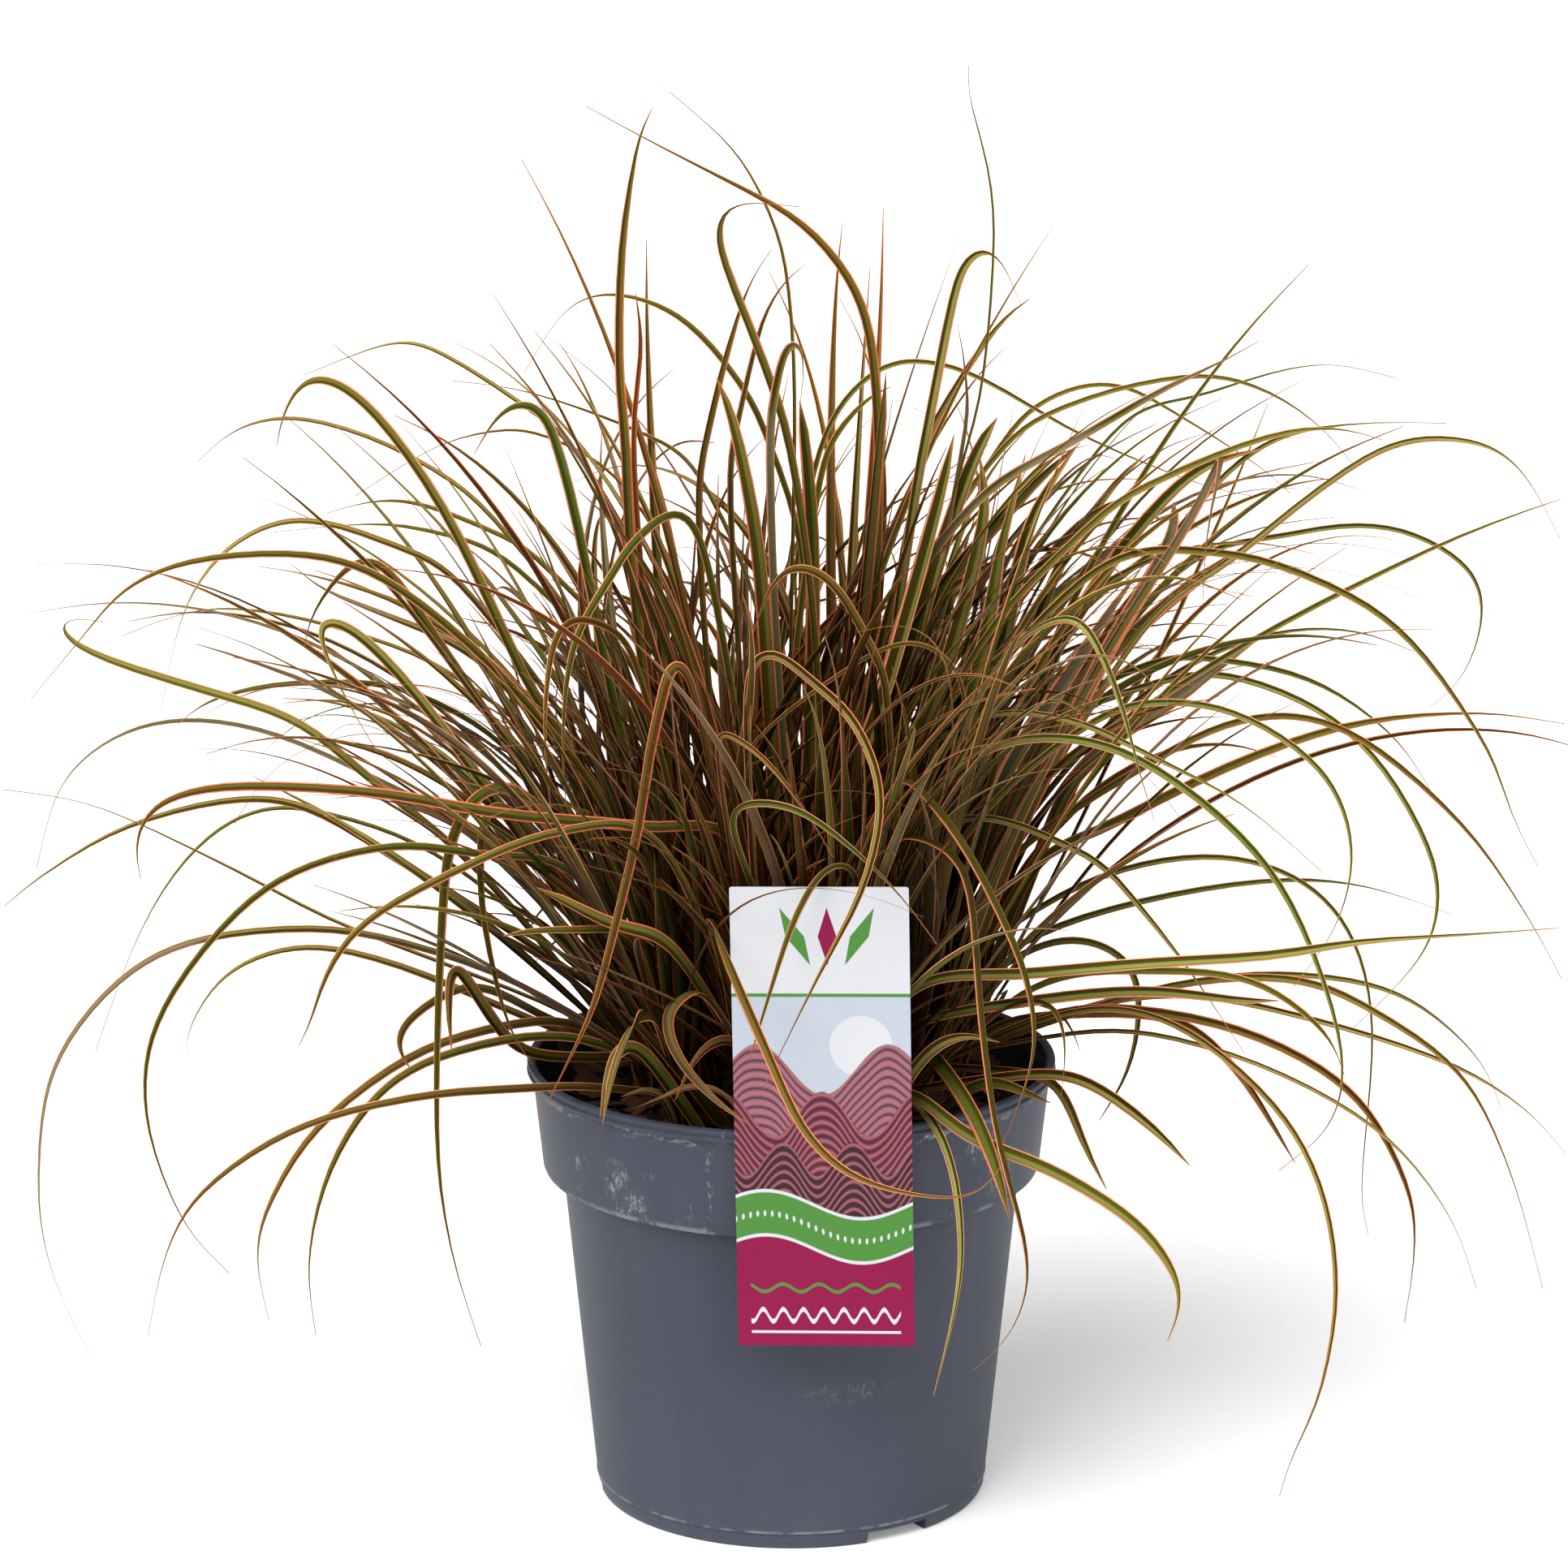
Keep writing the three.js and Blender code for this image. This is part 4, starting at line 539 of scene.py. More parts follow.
@dataclass(frozen=True)
class MouldedPlastic:
    """Dark blue-grey polypropylene, dulled by handling, with chalky scuffs on its collar.

    A scuff is given by how far round the wall it lies from the front, its height, its two
    half sizes, all in metres, and its strength. Painted shade darkens the body under the collar
    and just below the ridge above the foot, and painted light makes it paler towards the foot.
    """

    body: Colour = linear(49, 53, 66)
    worn: Colour = linear(67, 71, 83)
    chalk: Colour = linear(184, 185, 184)
    shadow: Colour = linear(34, 37, 46)
    wall: float = 0.090
    scuffs: tuple[tuple[float, float, float, float, float], ...] = (
        (-0.066, 0.1335, 0.006, 0.010, 1.0),
        (-0.058, 0.1270, 0.007, 0.007, 0.8),
        (-0.088, 0.1330, 0.003, 0.009, 0.6),
        (-0.036, 0.1240, 0.006, 0.004, 0.5),
        (0.0720, 0.1480, 0.007, 0.006, 0.8),
        (0.0860, 0.1330, 0.008, 0.008, 0.9),
        (0.1500, 0.1400, 0.012, 0.010, 0.8),
        (-0.1650, 0.1320, 0.014, 0.008, 0.8),
        (0.2350, 0.1450, 0.012, 0.008, 0.8),
        (0.0250, 0.0600, 0.020, 0.004, 0.25),
        (-0.1900, 0.0500, 0.016, 0.014, 0.3),
    )

    def material(self) -> bpy.types.Material:
        """The material of the pot."""
        paint = Paint("moulded_plastic")
        x, y, height = paint.axes(paint.place)
        turn = paint.node("ShaderNodeMath", {"operation": "ARCTAN2"}, {0: x, 1: 0 - y})["Value"]
        along = turn * self.wall
        cloud = paint.noise(14, 4)
        speck = paint.noise(520, 2)
        streak = paint.noise(60, 3, paint.stretched(1, 1, 0.12))
        tone = paint.mix((cloud * 0.9 + streak * 0.5 - 0.4).clamp(), self.body, self.worn)
        tone = paint.mix(speck.rise(0.56, 0.74) * 0.2, tone, self.worn)
        marks = self._marks(paint, along, height)
        # Painted shade on the body just under the collar's overhang.
        shade_under_collar = height.rise(0.1165, 0.1208) * (1 - height.rise(0.1208, 0.1214))
        tone = paint.mix(shade_under_collar * 0.55, tone, self.shadow)
        # Painted shade in a thin line just below the ridge above the foot.
        low = (height - 0.0048).rise(0, 0.0006) * (1 - height.rise(0.0056, 0.006))
        tone = paint.mix(low * 0.6, tone, self.shadow)
        # Painted light: the body turns paler towards the foot, mixed towards the worn grey, as if lit from
        # the floor below.
        tone = paint.mix((1 - height.rise(0.0, 0.09)) * 0.35, tone, self.worn)
        tone = paint.mix(marks, tone, self.chalk)
        grain = paint.noise(900, 2) * 0.4 + cloud
        return paint.finish(
            Base_Color=tone,
            Roughness=(0.46 + cloud * 0.14 + marks * 0.3).clamp(),
            Normal=paint.bump(grain, 0.22, 0.0003),
            Specular_IOR_Level=0.26,
        )

    def _marks(self, paint: Paint, along: Signal, height: Signal) -> Signal:
        """Where the chalk shows: in each scuff, in broken lines under the lip and as dust.

        Args:
            paint: The material's tree.
            along: How far round the wall a place is, in metres.
            height: How high it is, in metres.

        Returns:
            The share of chalk.
        """
        grit = paint.noise(700, 5, paint.stretched(1, 1, 0.5), 0.75).rise(0.44, 0.66)
        blotch = paint.noise(150, 4, None, 0.7).rise(0.4, 0.66)
        collar = height.rise(0.121, 0.125)
        fine = paint.noise(260, 5, paint.stretched(1, 1, 0.35), 0.8).rise(0.6, 0.7)
        total: Signal = fine * collar * 0.35 + paint.noise(700, 2).rise(0.74, 0.8) * 0.12
        for place, level, wide, high, strength in self.scuffs:
            off = ((along - place) / wide) ** 2 + ((height - level) / high) ** 2
            total = total + (1 - off.rise(0.1, 1.6)) * grit * blotch * strength
        band = height.rise(0.1535, 0.1556) * (1 - height.rise(0.1568, 0.1576))
        broken = paint.noise(70, 5, paint.stretched(1, 1, 2.6), 0.75).rise(0.5, 0.58)
        edge = height.rise(0.1212, 0.1222) * (1 - height.rise(0.1232, 0.1246))
        worn = paint.noise(60, 4, None, 0.7).rise(0.44, 0.56)
        foot = height.rise(0.0058, 0.0062) * (1 - height.rise(0.0066, 0.0072))
        lines = band * broken * (grit * 0.7 + 0.3) * 0.9 + edge * worn * 0.32 + foot * worn * 0.3
        return (total + lines).clamp() * 0.72


class LeafTone(Enum):
    """The leaf colours of the plant: the slot, the green of the centre, its brown, the margin."""

    BRONZE = ("leaves_bronze", (74, 84, 13), (94, 44, 12), (240, 146, 102))
    COPPER = ("leaves_copper", (84, 80, 14), (112, 46, 16), (244, 138, 98))
    OLIVE = ("leaves_olive", (66, 88, 13), (84, 50, 12), (236, 154, 108))
    RUST = ("leaves_rust", (78, 76, 14), (120, 42, 15), (244, 130, 92))
    MOSS = ("leaves_moss", (54, 92, 17), (74, 54, 15), (230, 160, 118))
    FAWN = ("leaves_fawn", (92, 98, 24), (102, 56, 18), (238, 162, 120))

    @property
    def slot(self) -> str:
        """The record's slot."""
        return self.value[0]


@dataclass(frozen=True)
class LeafFinish:
    """A sedge leaf: a green to bronze centre with fine veins between salmon margins.

    Its colour also holds painted light: a sheen on the lit half and shade on the other half, shade
    on a random share of the leaves and deep in the clump, and a highlight on the margins' edges.
    """

    tone: LeafTone
    base: Colour = linear(50, 54, 8)
    base_brown: Colour = linear(52, 26, 7)
    tip: Colour = linear(176, 110, 62)
    dead: Colour = linear(156, 104, 60)
    # The painted sheen laid on the lit half of each leaf.
    painted_sheen: Colour = linear(174, 170, 94)
    # The grey of waxy leaves, which also stands for their painted glossy sheen.
    wax_and_sheen: Colour = linear(124, 118, 96)
    shade: Colour = linear(38, 26, 5)
    seam: Colour = linear(98, 38, 12)
    low_margin: Colour = linear(146, 54, 18)
    rim_light: Colour = linear(250, 196, 150)
    # Painted shade: the colours that darken the leaves deep in the clump and a random share of them.
    depth_shade_colour: Colour = (0.12, 0.08, 0.035)
    leaf_shade_colour: Colour = (0.3, 0.23, 0.15)
    clump_reach: float = 0.142
    clump_foot: float = 0.15
    clump_height: float = 0.23

    def material(self) -> bpy.types.Material:
        """The material of one leaf colour."""
        _, green, brown, margin = self.tone.value
        paint = Paint(self.tone.slot)
        across, run = paint.attribute("across"), paint.attribute("run")
        tone, upper, dry, fore = (paint.attribute(n) for n in ("tone", "upper", "dry", "fore"))
        edge = abs(across)
        patches = paint.noise(18, 3)
        own = (tone * 91).sine() * 0.5 + 0.5
        other = (tone * 57 + 1).sine() * 0.5 + 0.5
        # How deep in the clump a place lies, which sets the painted shade; the front leaves are spared most.
        depth = (self._depth(paint) * (1.35 - other * 0.5) * (1 - fore * 0.62)).clamp()
        browning = (tone * 1.7 + patches * 0.9 - 1.2).clamp()
        centre = paint.mix(browning, linear(*green), linear(*brown))
        # Painted light on the folded leaf: a sheen on its lit half, strongest on the upper face, and painted
        # shade on its other half.
        lit_half = across.rise(-0.16, 0.16)
        sheen = lit_half * (0.15 + own * 0.95) * (0.2 + patches * 1.2) * (1 - browning * 0.6)
        centre = paint.mix(sheen * (upper * 0.68 + 0.1), centre, self.painted_sheen)
        centre = paint.mix((1 - lit_half) * (0.25 + other * 0.55), centre, self.shade)
        veins = (across * 46).sine() * 0.5 + 0.5
        centre = paint.mix(veins * 0.1, centre, self.shade)
        # A few outer leaves turn waxy grey, and this grey also stands for their painted glossy sheen.
        wax_and_sheen_share = (other - 0.955).rise(0, 0.03) * (1 - depth) * patches.rise(0.36, 0.6) * 0.65
        centre = paint.mix(wax_and_sheen_share, centre, self.wax_and_sheen)
        centre = paint.mix(edge.rise(0.5, 0.7) * (0.3 + own * 0.45), centre, self.seam)
        # The margins vary from dark red to salmon by patch, by leaf and along it; deep in the clump they are
        # darker and narrower as painted shade, and the painted highlight on their outer edge fades.
        warmth = (patches * 1.2 + own * 0.4 - 0.1 + run * 0.5 - depth * 0.7).clamp()
        warm = paint.mix(warmth, self.low_margin, linear(*margin))
        warm = paint.mix(edge.rise(0.82, 0.98) * (own * 0.6 + 0.2) * (1 - depth), warm, self.rim_light)
        rim = (edge - own * 0.08 - depth * 0.07).rise(0.69, 0.77)
        skin = paint.mix(rim, centre, warm)
        # The leaf bases are dark: partly their own colour, partly painted shade low in the clump.
        foot = paint.mix((own * 1.2 + browning * 0.5 - 0.3).clamp(), self.base, self.base_brown)
        skin = paint.mix((1 - run.rise(0.0, 0.45)) * (1 - rim * 0.7) * 0.7, skin, foot)
        skin = paint.mix(run.rise(0.86, 1.0) * (1 - depth) * 0.7, skin, self.tip)
        skin = paint.mix((dry + (1 - upper) * 0.05).clamp(), skin, self.dead)
        # Painted shade: about half of the leaves are darkened at random, as if under others, the front ones
        # less.
        painted_leaf_shade = (tone * 133 + 2).sine().rise(-0.2, 0.95) * (0.54 - fore * 0.42)
        skin = paint.mix(painted_leaf_shade, skin, self.leaf_shade_colour, "MULTIPLY")
        # Painted shade that deepens towards the middle of the clump, a little less on the margins.
        skin = paint.mix(depth * (1 - rim * 0.35) * 0.94, skin, self.depth_shade_colour, "MULTIPLY")
        relief = veins * 0.3 + rim * 0.6
        return paint.finish(
            Base_Color=skin,
            Roughness=(0.36 + patches * 0.2 + dry * 0.3).clamp(),
            Normal=paint.bump(relief, 0.3, 0.0002),
            Specular_IOR_Level=0.08,
            Specular_Tint=(1.0, 0.88, 0.58, 1.0),
        )

    def _depth(self, paint: Paint) -> Signal:
        """How deep a place lies in the clump, where the painted shade is darkest.

        Args:
            paint: The material's tree.

        Returns:
            The depth, from 0 at the outside to 1.
        """
        x, y, z = paint.axes(paint.place)
        wide = (x * x + y * y) / self.clump_reach ** 2
        high = ((z - self.clump_foot) / self.clump_height) ** 2
        return (1.32 - wide - high).clamp()


@dataclass(frozen=True)
class CompostFinish:
    """Moist peat, almost black between its crumbs."""

    dark: Colour = linear(20, 13, 8)
    light: Colour = linear(56, 36, 25)

    def material(self) -> bpy.types.Material:
        """The material of the compost."""
        paint = Paint("compost")
        crumbs = paint.noise(260, 5, None, 0.65)
        clods = paint.noise(60, 3)
        tone = paint.mix((crumbs * 1.3 + clods * 0.6 - 0.75).clamp(), self.dark, self.light)
        return paint.finish(Base_Color=tone, Roughness=0.93, Normal=paint.bump(crumbs, 0.9, 0.0022),
                            Specular_IOR_Level=0.1)


@dataclass(frozen=True)
class BarkFinish:
    """Bark chips, each of its own brown, with a fibrous grain."""

    dark: Colour = linear(27, 16, 10)
    light: Colour = linear(84, 51, 34)

    def material(self) -> bpy.types.Material:
        """The material of the bark."""
        paint = Paint("bark")
        own = paint.attribute("tone")
        fibre = paint.noise(240, 4, paint.stretched(0.35, 1, 1), 0.6)
        tone = paint.mix((own * 0.75 + fibre * 0.7 - 0.4).clamp(), self.dark, self.light)
        return paint.finish(Base_Color=tone, Roughness=0.85, Normal=paint.bump(fibre, 0.7, 0.001),
                            Specular_IOR_Level=0.15)


@dataclass(frozen=True)
class DryLeafFinish:
    """A withered leaf: pinkish brown and ribbed along its length."""

    light: Colour = linear(160, 110, 72)
    dark: Colour = linear(84, 52, 32)

    def material(self) -> bpy.types.Material:
        """The material of the litter."""
        paint = Paint("dry_leaf")
        across = paint.attribute("across")
        ribs = (across * 14).sine() * 0.5 + 0.5
        blotch = paint.noise(90, 4)
        tone = paint.mix((ribs * 0.35 + blotch * 0.9 - 0.3).clamp(), self.light, self.dark)
        return paint.finish(Base_Color=tone, Roughness=0.7, Normal=paint.bump(ribs, 0.5, 0.0004),
                            Specular_IOR_Level=0.2)


@dataclass
class Page:
    """A page in print: its paint, the place on it in millimetres, and its colour so far."""

    paint: Paint
    x: Signal
    z: Signal
    tone: "Value"

    def lay(self, mask: "Value", colour: "Value") -> None:
        """Prints a colour where the mask is 1."""
        self.tone = self.paint.mix(mask, self.tone, colour)


@dataclass(frozen=True)
class PrintedCard:
    """White laminated card with a plain printed pattern of hills, a disc and bands.

    The pattern is read from the card's own map, in millimetres from its lower left corner.
    """

    width: float
    height: float
    paper: Colour = linear(190, 192, 196)
    far_hill: Colour = linear(128, 84, 96)
    mid_hill: Colour = linear(102, 46, 62)
    near_hill: Colour = linear(66, 34, 44)
    light_plum: Colour = linear(166, 100, 106)
    dark_plum: Colour = linear(44, 26, 34)
    wine: Colour = linear(125, 11, 60)
    leaf: Colour = linear(69, 122, 52)
    mist: Colour = linear(168, 176, 186)

    def material(self) -> bpy.types.Material:
        """The material of the printed face."""
        paint = Paint("printed_card")
        u, v, _ = paint.axes(paint.node("ShaderNodeUVMap", {"uv_map": "card"})["UV"])
        page = Page(paint, u * self.width, v * self.height, self.mist)
        self._hills(page)
        self._lower_field(page)
        self._upper_field(page)
        return paint.finish(Base_Color=page.tone, Roughness=0.4, Specular_IOR_Level=0.15)

    def _hills(self, page: Page) -> None:
        """Prints the middle: a disc over three rows of hills.

        Args:
            page: The page.
        """
        x, z = page.x, page.z
        radius = ((x - 44) ** 2 + (z - 108) ** 2) ** 0.5
        page.lay(1 - radius.rise(10.6, 11.0), self.paper)
        rows = ((100, 9, 0.14, 0.4, self.far_hill), (84, 8, 0.19, 2.1, self.mid_hill),
                (68, 6, 0.26, 3.6, self.near_hill))
        for level, swing, rate, start, colour in rows:
            crest = (x * rate + start).sine() * swing + level
            grain = ((crest - z) * 1.9 + (x * 0.5 + start).sine() * 0.8).sine() * 0.5 + 0.5
            row = page.paint.mix(grain.rise(0.62, 0.8) * 0.55, colour, self.light_plum)
            row = page.paint.mix((1 - grain).rise(0.72, 0.88) * 0.7, row, self.dark_plum)
            page.lay((crest - z).rise(0, 0.5), row)

    def _lower_field(self, page: Page) -> None:
        """Prints the foot: a green ribbon that waves over a wine-red field with three lines.

        Args:
            page: The page.
        """
        x, z = page.x, page.z
        crest = (x * 0.095 + 0.6).sine() * 5 + 43
        page.lay((crest + 9 - z).rise(0, 0.4), self.paper)
        page.lay((crest + 7.8 - z).rise(0, 0.4), self.leaf)
        beads = ((x * 1.256).sine() ** 2 * 4 + (z - crest) ** 2) ** 0.5
        page.lay(1 - beads.rise(0.9, 1.3), self.paper)
        page.lay((crest - 7 - z).rise(0, 0.4), self.paper)
        page.lay((crest - 8.2 - z).rise(0, 0.4), self.wine)
        inside = (x - 4.5).rise(0, 0.3) * (1 - (x - self.width + 4.8).rise(0, 0.3))
        lines = ((11, 2.2, 0.9, 0.75, self.paper), (5, 0, 1, 0.35, self.paper),
                 (21, 1.4, 0.5, 0.5, self.leaf))
        for level, swing, rate, half, colour in lines:
            off = abs(z - level - (x * rate).sine() * swing)
            page.lay((1 - off.rise(half, half + 0.25)) * inside, colour)

    def _upper_field(self, page: Page) -> None:
        """Prints the head: a green line, and a sprig of three leaf shapes on white.

        Args:
            page: The page.
        """
        page.lay(page.z.rise(125.4, 125.7), self.leaf)
        page.lay(page.z.rise(126.6, 126.9), self.paper)
        along = page.z - 147
        for centre, lean, colour in ((22, -0.5, self.leaf), (33, 0.0, self.wine), (44, 0.5, self.leaf)):
            body = abs(page.x - centre - along * lean) * 3.2 + abs(along)
            page.lay(1 - body.rise(10.0, 10.5), colour)


@dataclass(frozen=True)
class StudioFloor:
    """A plain white floor."""

    white: Colour = linear(247, 247, 247)

    def material(self) -> bpy.types.Material:
        """The material of the floor."""
        paint = Paint("studio_floor")
        tone = paint.mix(paint.noise(3, 2) * 0.02, self.white, linear(240, 240, 240))
        return paint.finish(Base_Color=tone, Roughness=0.9, Specular_IOR_Level=0.1,
                            Emission_Color=(1.0, 1.0, 1.0), Emission_Strength=0.18)


@dataclass(frozen=True)
class PotSizes:
    """The sizes of the pot in millimetres, shared by what stands on it and in it."""

    height: float = 162
    lip: float = 95
    lip_height: float = 4.6
    collar_top: float = 93.2
    collar_foot: float = 89.4
    collar_z: float = 121.5
    body_top: float = 82.4
    body_foot: float = 70.4
    foot: float = 69.6
    foot_inner: float = 61
    wall: float = 1.5
    floor_under: float = 5
    floor_top: float = 6.6


@dataclass(frozen=True)
class TagSizes:
    """The sizes and the place of the plant tag, in millimetres and degrees."""

    width: float = 61
    height: float = 164.5
    thickness: float = 0.8
    turn: float = -4
    centre: float = 19
    bottom: float = 86
    tilt: float = -1
    corner: float = 0.9
    hook_centre: float = 1
    hook_width: float = 20
    hook_reach: float = 13
    gap: float = 0.3

    def turned(self, points: Array) -> Array:
        """Turns points about the pot's axis to where the tag hangs.

        Args:
            points: The points, one in each row.

        Returns:
            The turned points.
        """
        angle = math.radians(self.turn)
        x, y, z = points.T
        across = x * math.cos(angle) - y * math.sin(angle)
        deep = x * math.sin(angle) + y * math.cos(angle)
        return np.stack([across, deep, z], axis=1)


POT = PotSizes()
TAG = TagSizes()


def compost_height(x: Number, y: Number) -> Number:
    """The height of the compost at a place, as in the solid.

    Args:
        x: How far to the right, in millimetres.
        y: How far back, in millimetres.

    Returns:
        The height in millimetres.
    """
    reach = np.sqrt(x * x + y * y)
    lumps = np.sin(x / 6.1 + 1) * np.cos(y / 7.3) + np.sin(y / 4.9 + x / 11)
    return COMPOST_LEVEL + 5 * (1 - reach / POT.collar_top) + 1.3 * lumps


def ring_of(sides: int, radius: Number, height: Number) -> Array:
    """A ring of points about the upright axis."""
    angles = np.arange(sides) * 2 * math.pi / sides
    return np.stack([radius * np.cos(angles), radius * np.sin(angles), np.full(sides, height)], 1)


def row_dot(a: Array, b: Array) -> Array:
    """The dot product of the last axes of two arrays."""
    return np.einsum("...i,...i->...", a, b)


def unit(a: Array) -> Array:
    """Vectors of length one along the last axis."""
    return a / np.sqrt(row_dot(a, a))[..., None]


@dataclass
class Tuft:
    """One bunch of leaves from one packed base."""

    index: int
    x: float
    y: float
    reach: float
    turn: float
    leaves: list["Leaf"] = field(default_factory=list)

    def core_point(self, z: float, lean: float = 0.5) -> Array:
        """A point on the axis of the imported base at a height."""
        out = max(0.0, z - CORE_SHOULDER) * lean * self.reach
        return np.array([self.x + out * math.cos(self.turn), self.y + out * math.sin(self.turn), z])

    def root_point(self, z: float, turn: float, fan: float = 3.4) -> Array:
        """Where a leaf leaves the base, towards where the leaf goes."""
        spread = fan * (1 - (z - CORE_SHOULDER) / (CORE_TOP - CORE_SHOULDER))
        return self.core_point(z) + np.array([math.cos(turn), math.sin(turn), 0.0]) * spread


@dataclass
class Stations:
    """Places along a leaf: points, side vectors, directions, widths and shares of its length."""

    place: Array
    side: Array
    direction: Array
    width: Array
    share: Array


@dataclass
class Leaf:
    """One leaf: a smooth course through points, with a width, a face and a twist."""

    points: Array
    width: float
    facing: Array
    traced: bool
    twist: float
    tip_twist: float
    count: int
    tuft: Tuft
    tone: float = 0.5
    dry: float = 0.0
    # How far the leaf is spared the painted shade of its material, from 0 to 1.
    fore: float = 0.0
    fullness: float = 3.0
    slimming: float = 0.55
    breadth: float = 0.9

    def _along(self, shares: Array) -> Array:
        """Points on a smooth curve through the leaf's points.

        Args:
            shares: Where they lie, from 0 at the first point to 1 at the last.

        Returns:
            The points.
        """
        last = len(self.points) - 1
        place = np.minimum(shares * last, last - 1e-9)
        i = np.floor(place).astype(int)
        t = (place - i)[:, None]
        a, b = self.points[np.maximum(0, i - 1)], self.points[i]
        c, d = self.points[i + 1], self.points[np.minimum(last, i + 2)]
        return 0.5 * (2 * b + (c - a) * t + (2 * a - 5 * b + 4 * c - d) * t * t
                      + (3 * b - a - 3 * c + d) * t * t * t)

    def _width(self, share: Array, least: float, fullness: float = 3.0) -> Array:
        """The width at each share of the length: full from a third on, then down to a thread."""
        swell = 0.75 + 0.25 * np.minimum(1, share / 0.3)
        return np.maximum(least, self.width * swell * (1 - share ** fullness))

    def stations(self, count: int) -> Stations:
        """The rings of the solid leaf, which decide whether it has room and need no side.

        Args:
            count: The number of steps.

        Returns:
            The places and widths, from the root to the tip.
        """
        share = np.arange(count + 1) / count
        place = self._along(share)
        direction = unit(np.gradient(place, axis=0))
        return Stations(place, direction, direction, self._width(share, 0.8), share)

    def fine(self, samples: int = 96, smooth: float = 7, step: float = 17, turn: float = 0.13,
             least: float = 0.3) -> Stations:
        """The rings of the dressed leaf, closer together where it bends.

        Args:
            samples: The places at which its course is read first.
            smooth: The length over which a kink is rounded, in millimetres.
            step: The longest step between rings, in millimetres.
            turn: The largest bend between rings, in radians.
            least: The least width, in millimetres.

        Returns:
            The places, sides, directions and widths, from the root to the tip.
        """
        raw = self._along(np.linspace(0, 1, 2 * samples))
        run = np.concatenate([[0], np.cumsum(np.linalg.norm(np.diff(raw, axis=0), axis=1))])
        even = np.linspace(0, run[-1], samples)
        share = np.interp(even, run, np.linspace(0, 1, 2 * samples))
        place = np.stack([np.interp(even, run, raw[:, k]) for k in range(3)], axis=1)
        place = self._rounded(place, smooth / even[1])
        direction = unit(np.gradient(place, axis=0))
        side = self._sides(direction, share)
        bend = np.arccos(np.clip(row_dot(direction[1:], direction[:-1]), -1, 1))
        measure = np.concatenate([[0], np.cumsum(even[1] / step + bend / turn)])
        count = int(min(64, max(10, math.ceil(measure[-1]))))
        spots = np.linspace(0, measure[-1], count + 1)

        def read(values: Array) -> Array:
            """The values at the rings."""
            return np.stack([np.interp(spots, measure, column) for column in values.T], axis=1)

        share = np.interp(spots, measure, share)
        slim = np.clip((share - 0.6) / 0.3, 0, 1)
        slim = 1 - self.slimming * slim * slim * (3 - 2 * slim)
        width = np.maximum(least, self._width(share, least, self.fullness) * self.breadth * slim)
        return Stations(read(place), unit(read(side)), unit(read(direction)), width, share)

    @staticmethod
    def _rounded(place: Array, spread: float) -> Array:
        """Rounds the kinks of a course and keeps its ends.

        Args:
            place: The points of the course, in even steps.
            spread: How far the rounding reaches, in steps.

        Returns:
            The rounded points.
        """
        reach = max(1, math.ceil(2.5 * spread))
        weights = np.exp(-0.5 * (np.arange(-reach, reach + 1) / spread) ** 2)
        weights /= weights.sum()
        before = 2 * place[0] - place[reach:0:-1]
        after = 2 * place[-1] - place[-2:-reach - 2:-1]
        padded = np.vstack([before, place, after])
        return np.stack([np.convolve(padded[:, k], weights, "valid") for k in range(3)], axis=1)

    def _sides(self, direction: Array, share: Array) -> Array:
        """Side vectors that follow the leaf's face without ever flipping over.

        Args:
            direction: Where the leaf heads at each place.
            share: How far along the leaf each place is, from 0 to 1.

        Returns:
            The side vector at each place.
        """
        if self.traced:
            wanted = np.cross(direction, self.facing)
        else:
            wanted = self.facing - direction * row_dot(direction, self.facing)[:, None]
        side = np.empty_like(wanted)
        last = unit(wanted[0])
        for i, (way, aim) in enumerate(zip(direction, wanted)):
            last = last - way * float(last @ way)
            last = last + aim * (0.3 if float(last @ aim) >= 0 else -0.3)
            last = last / math.sqrt(float(last @ last))
            side[i] = last
        angle = (self.twist + (self.tip_twist - self.twist) * share)[:, None]
        return side * np.cos(angle) + np.cross(direction, side) * np.sin(angle)


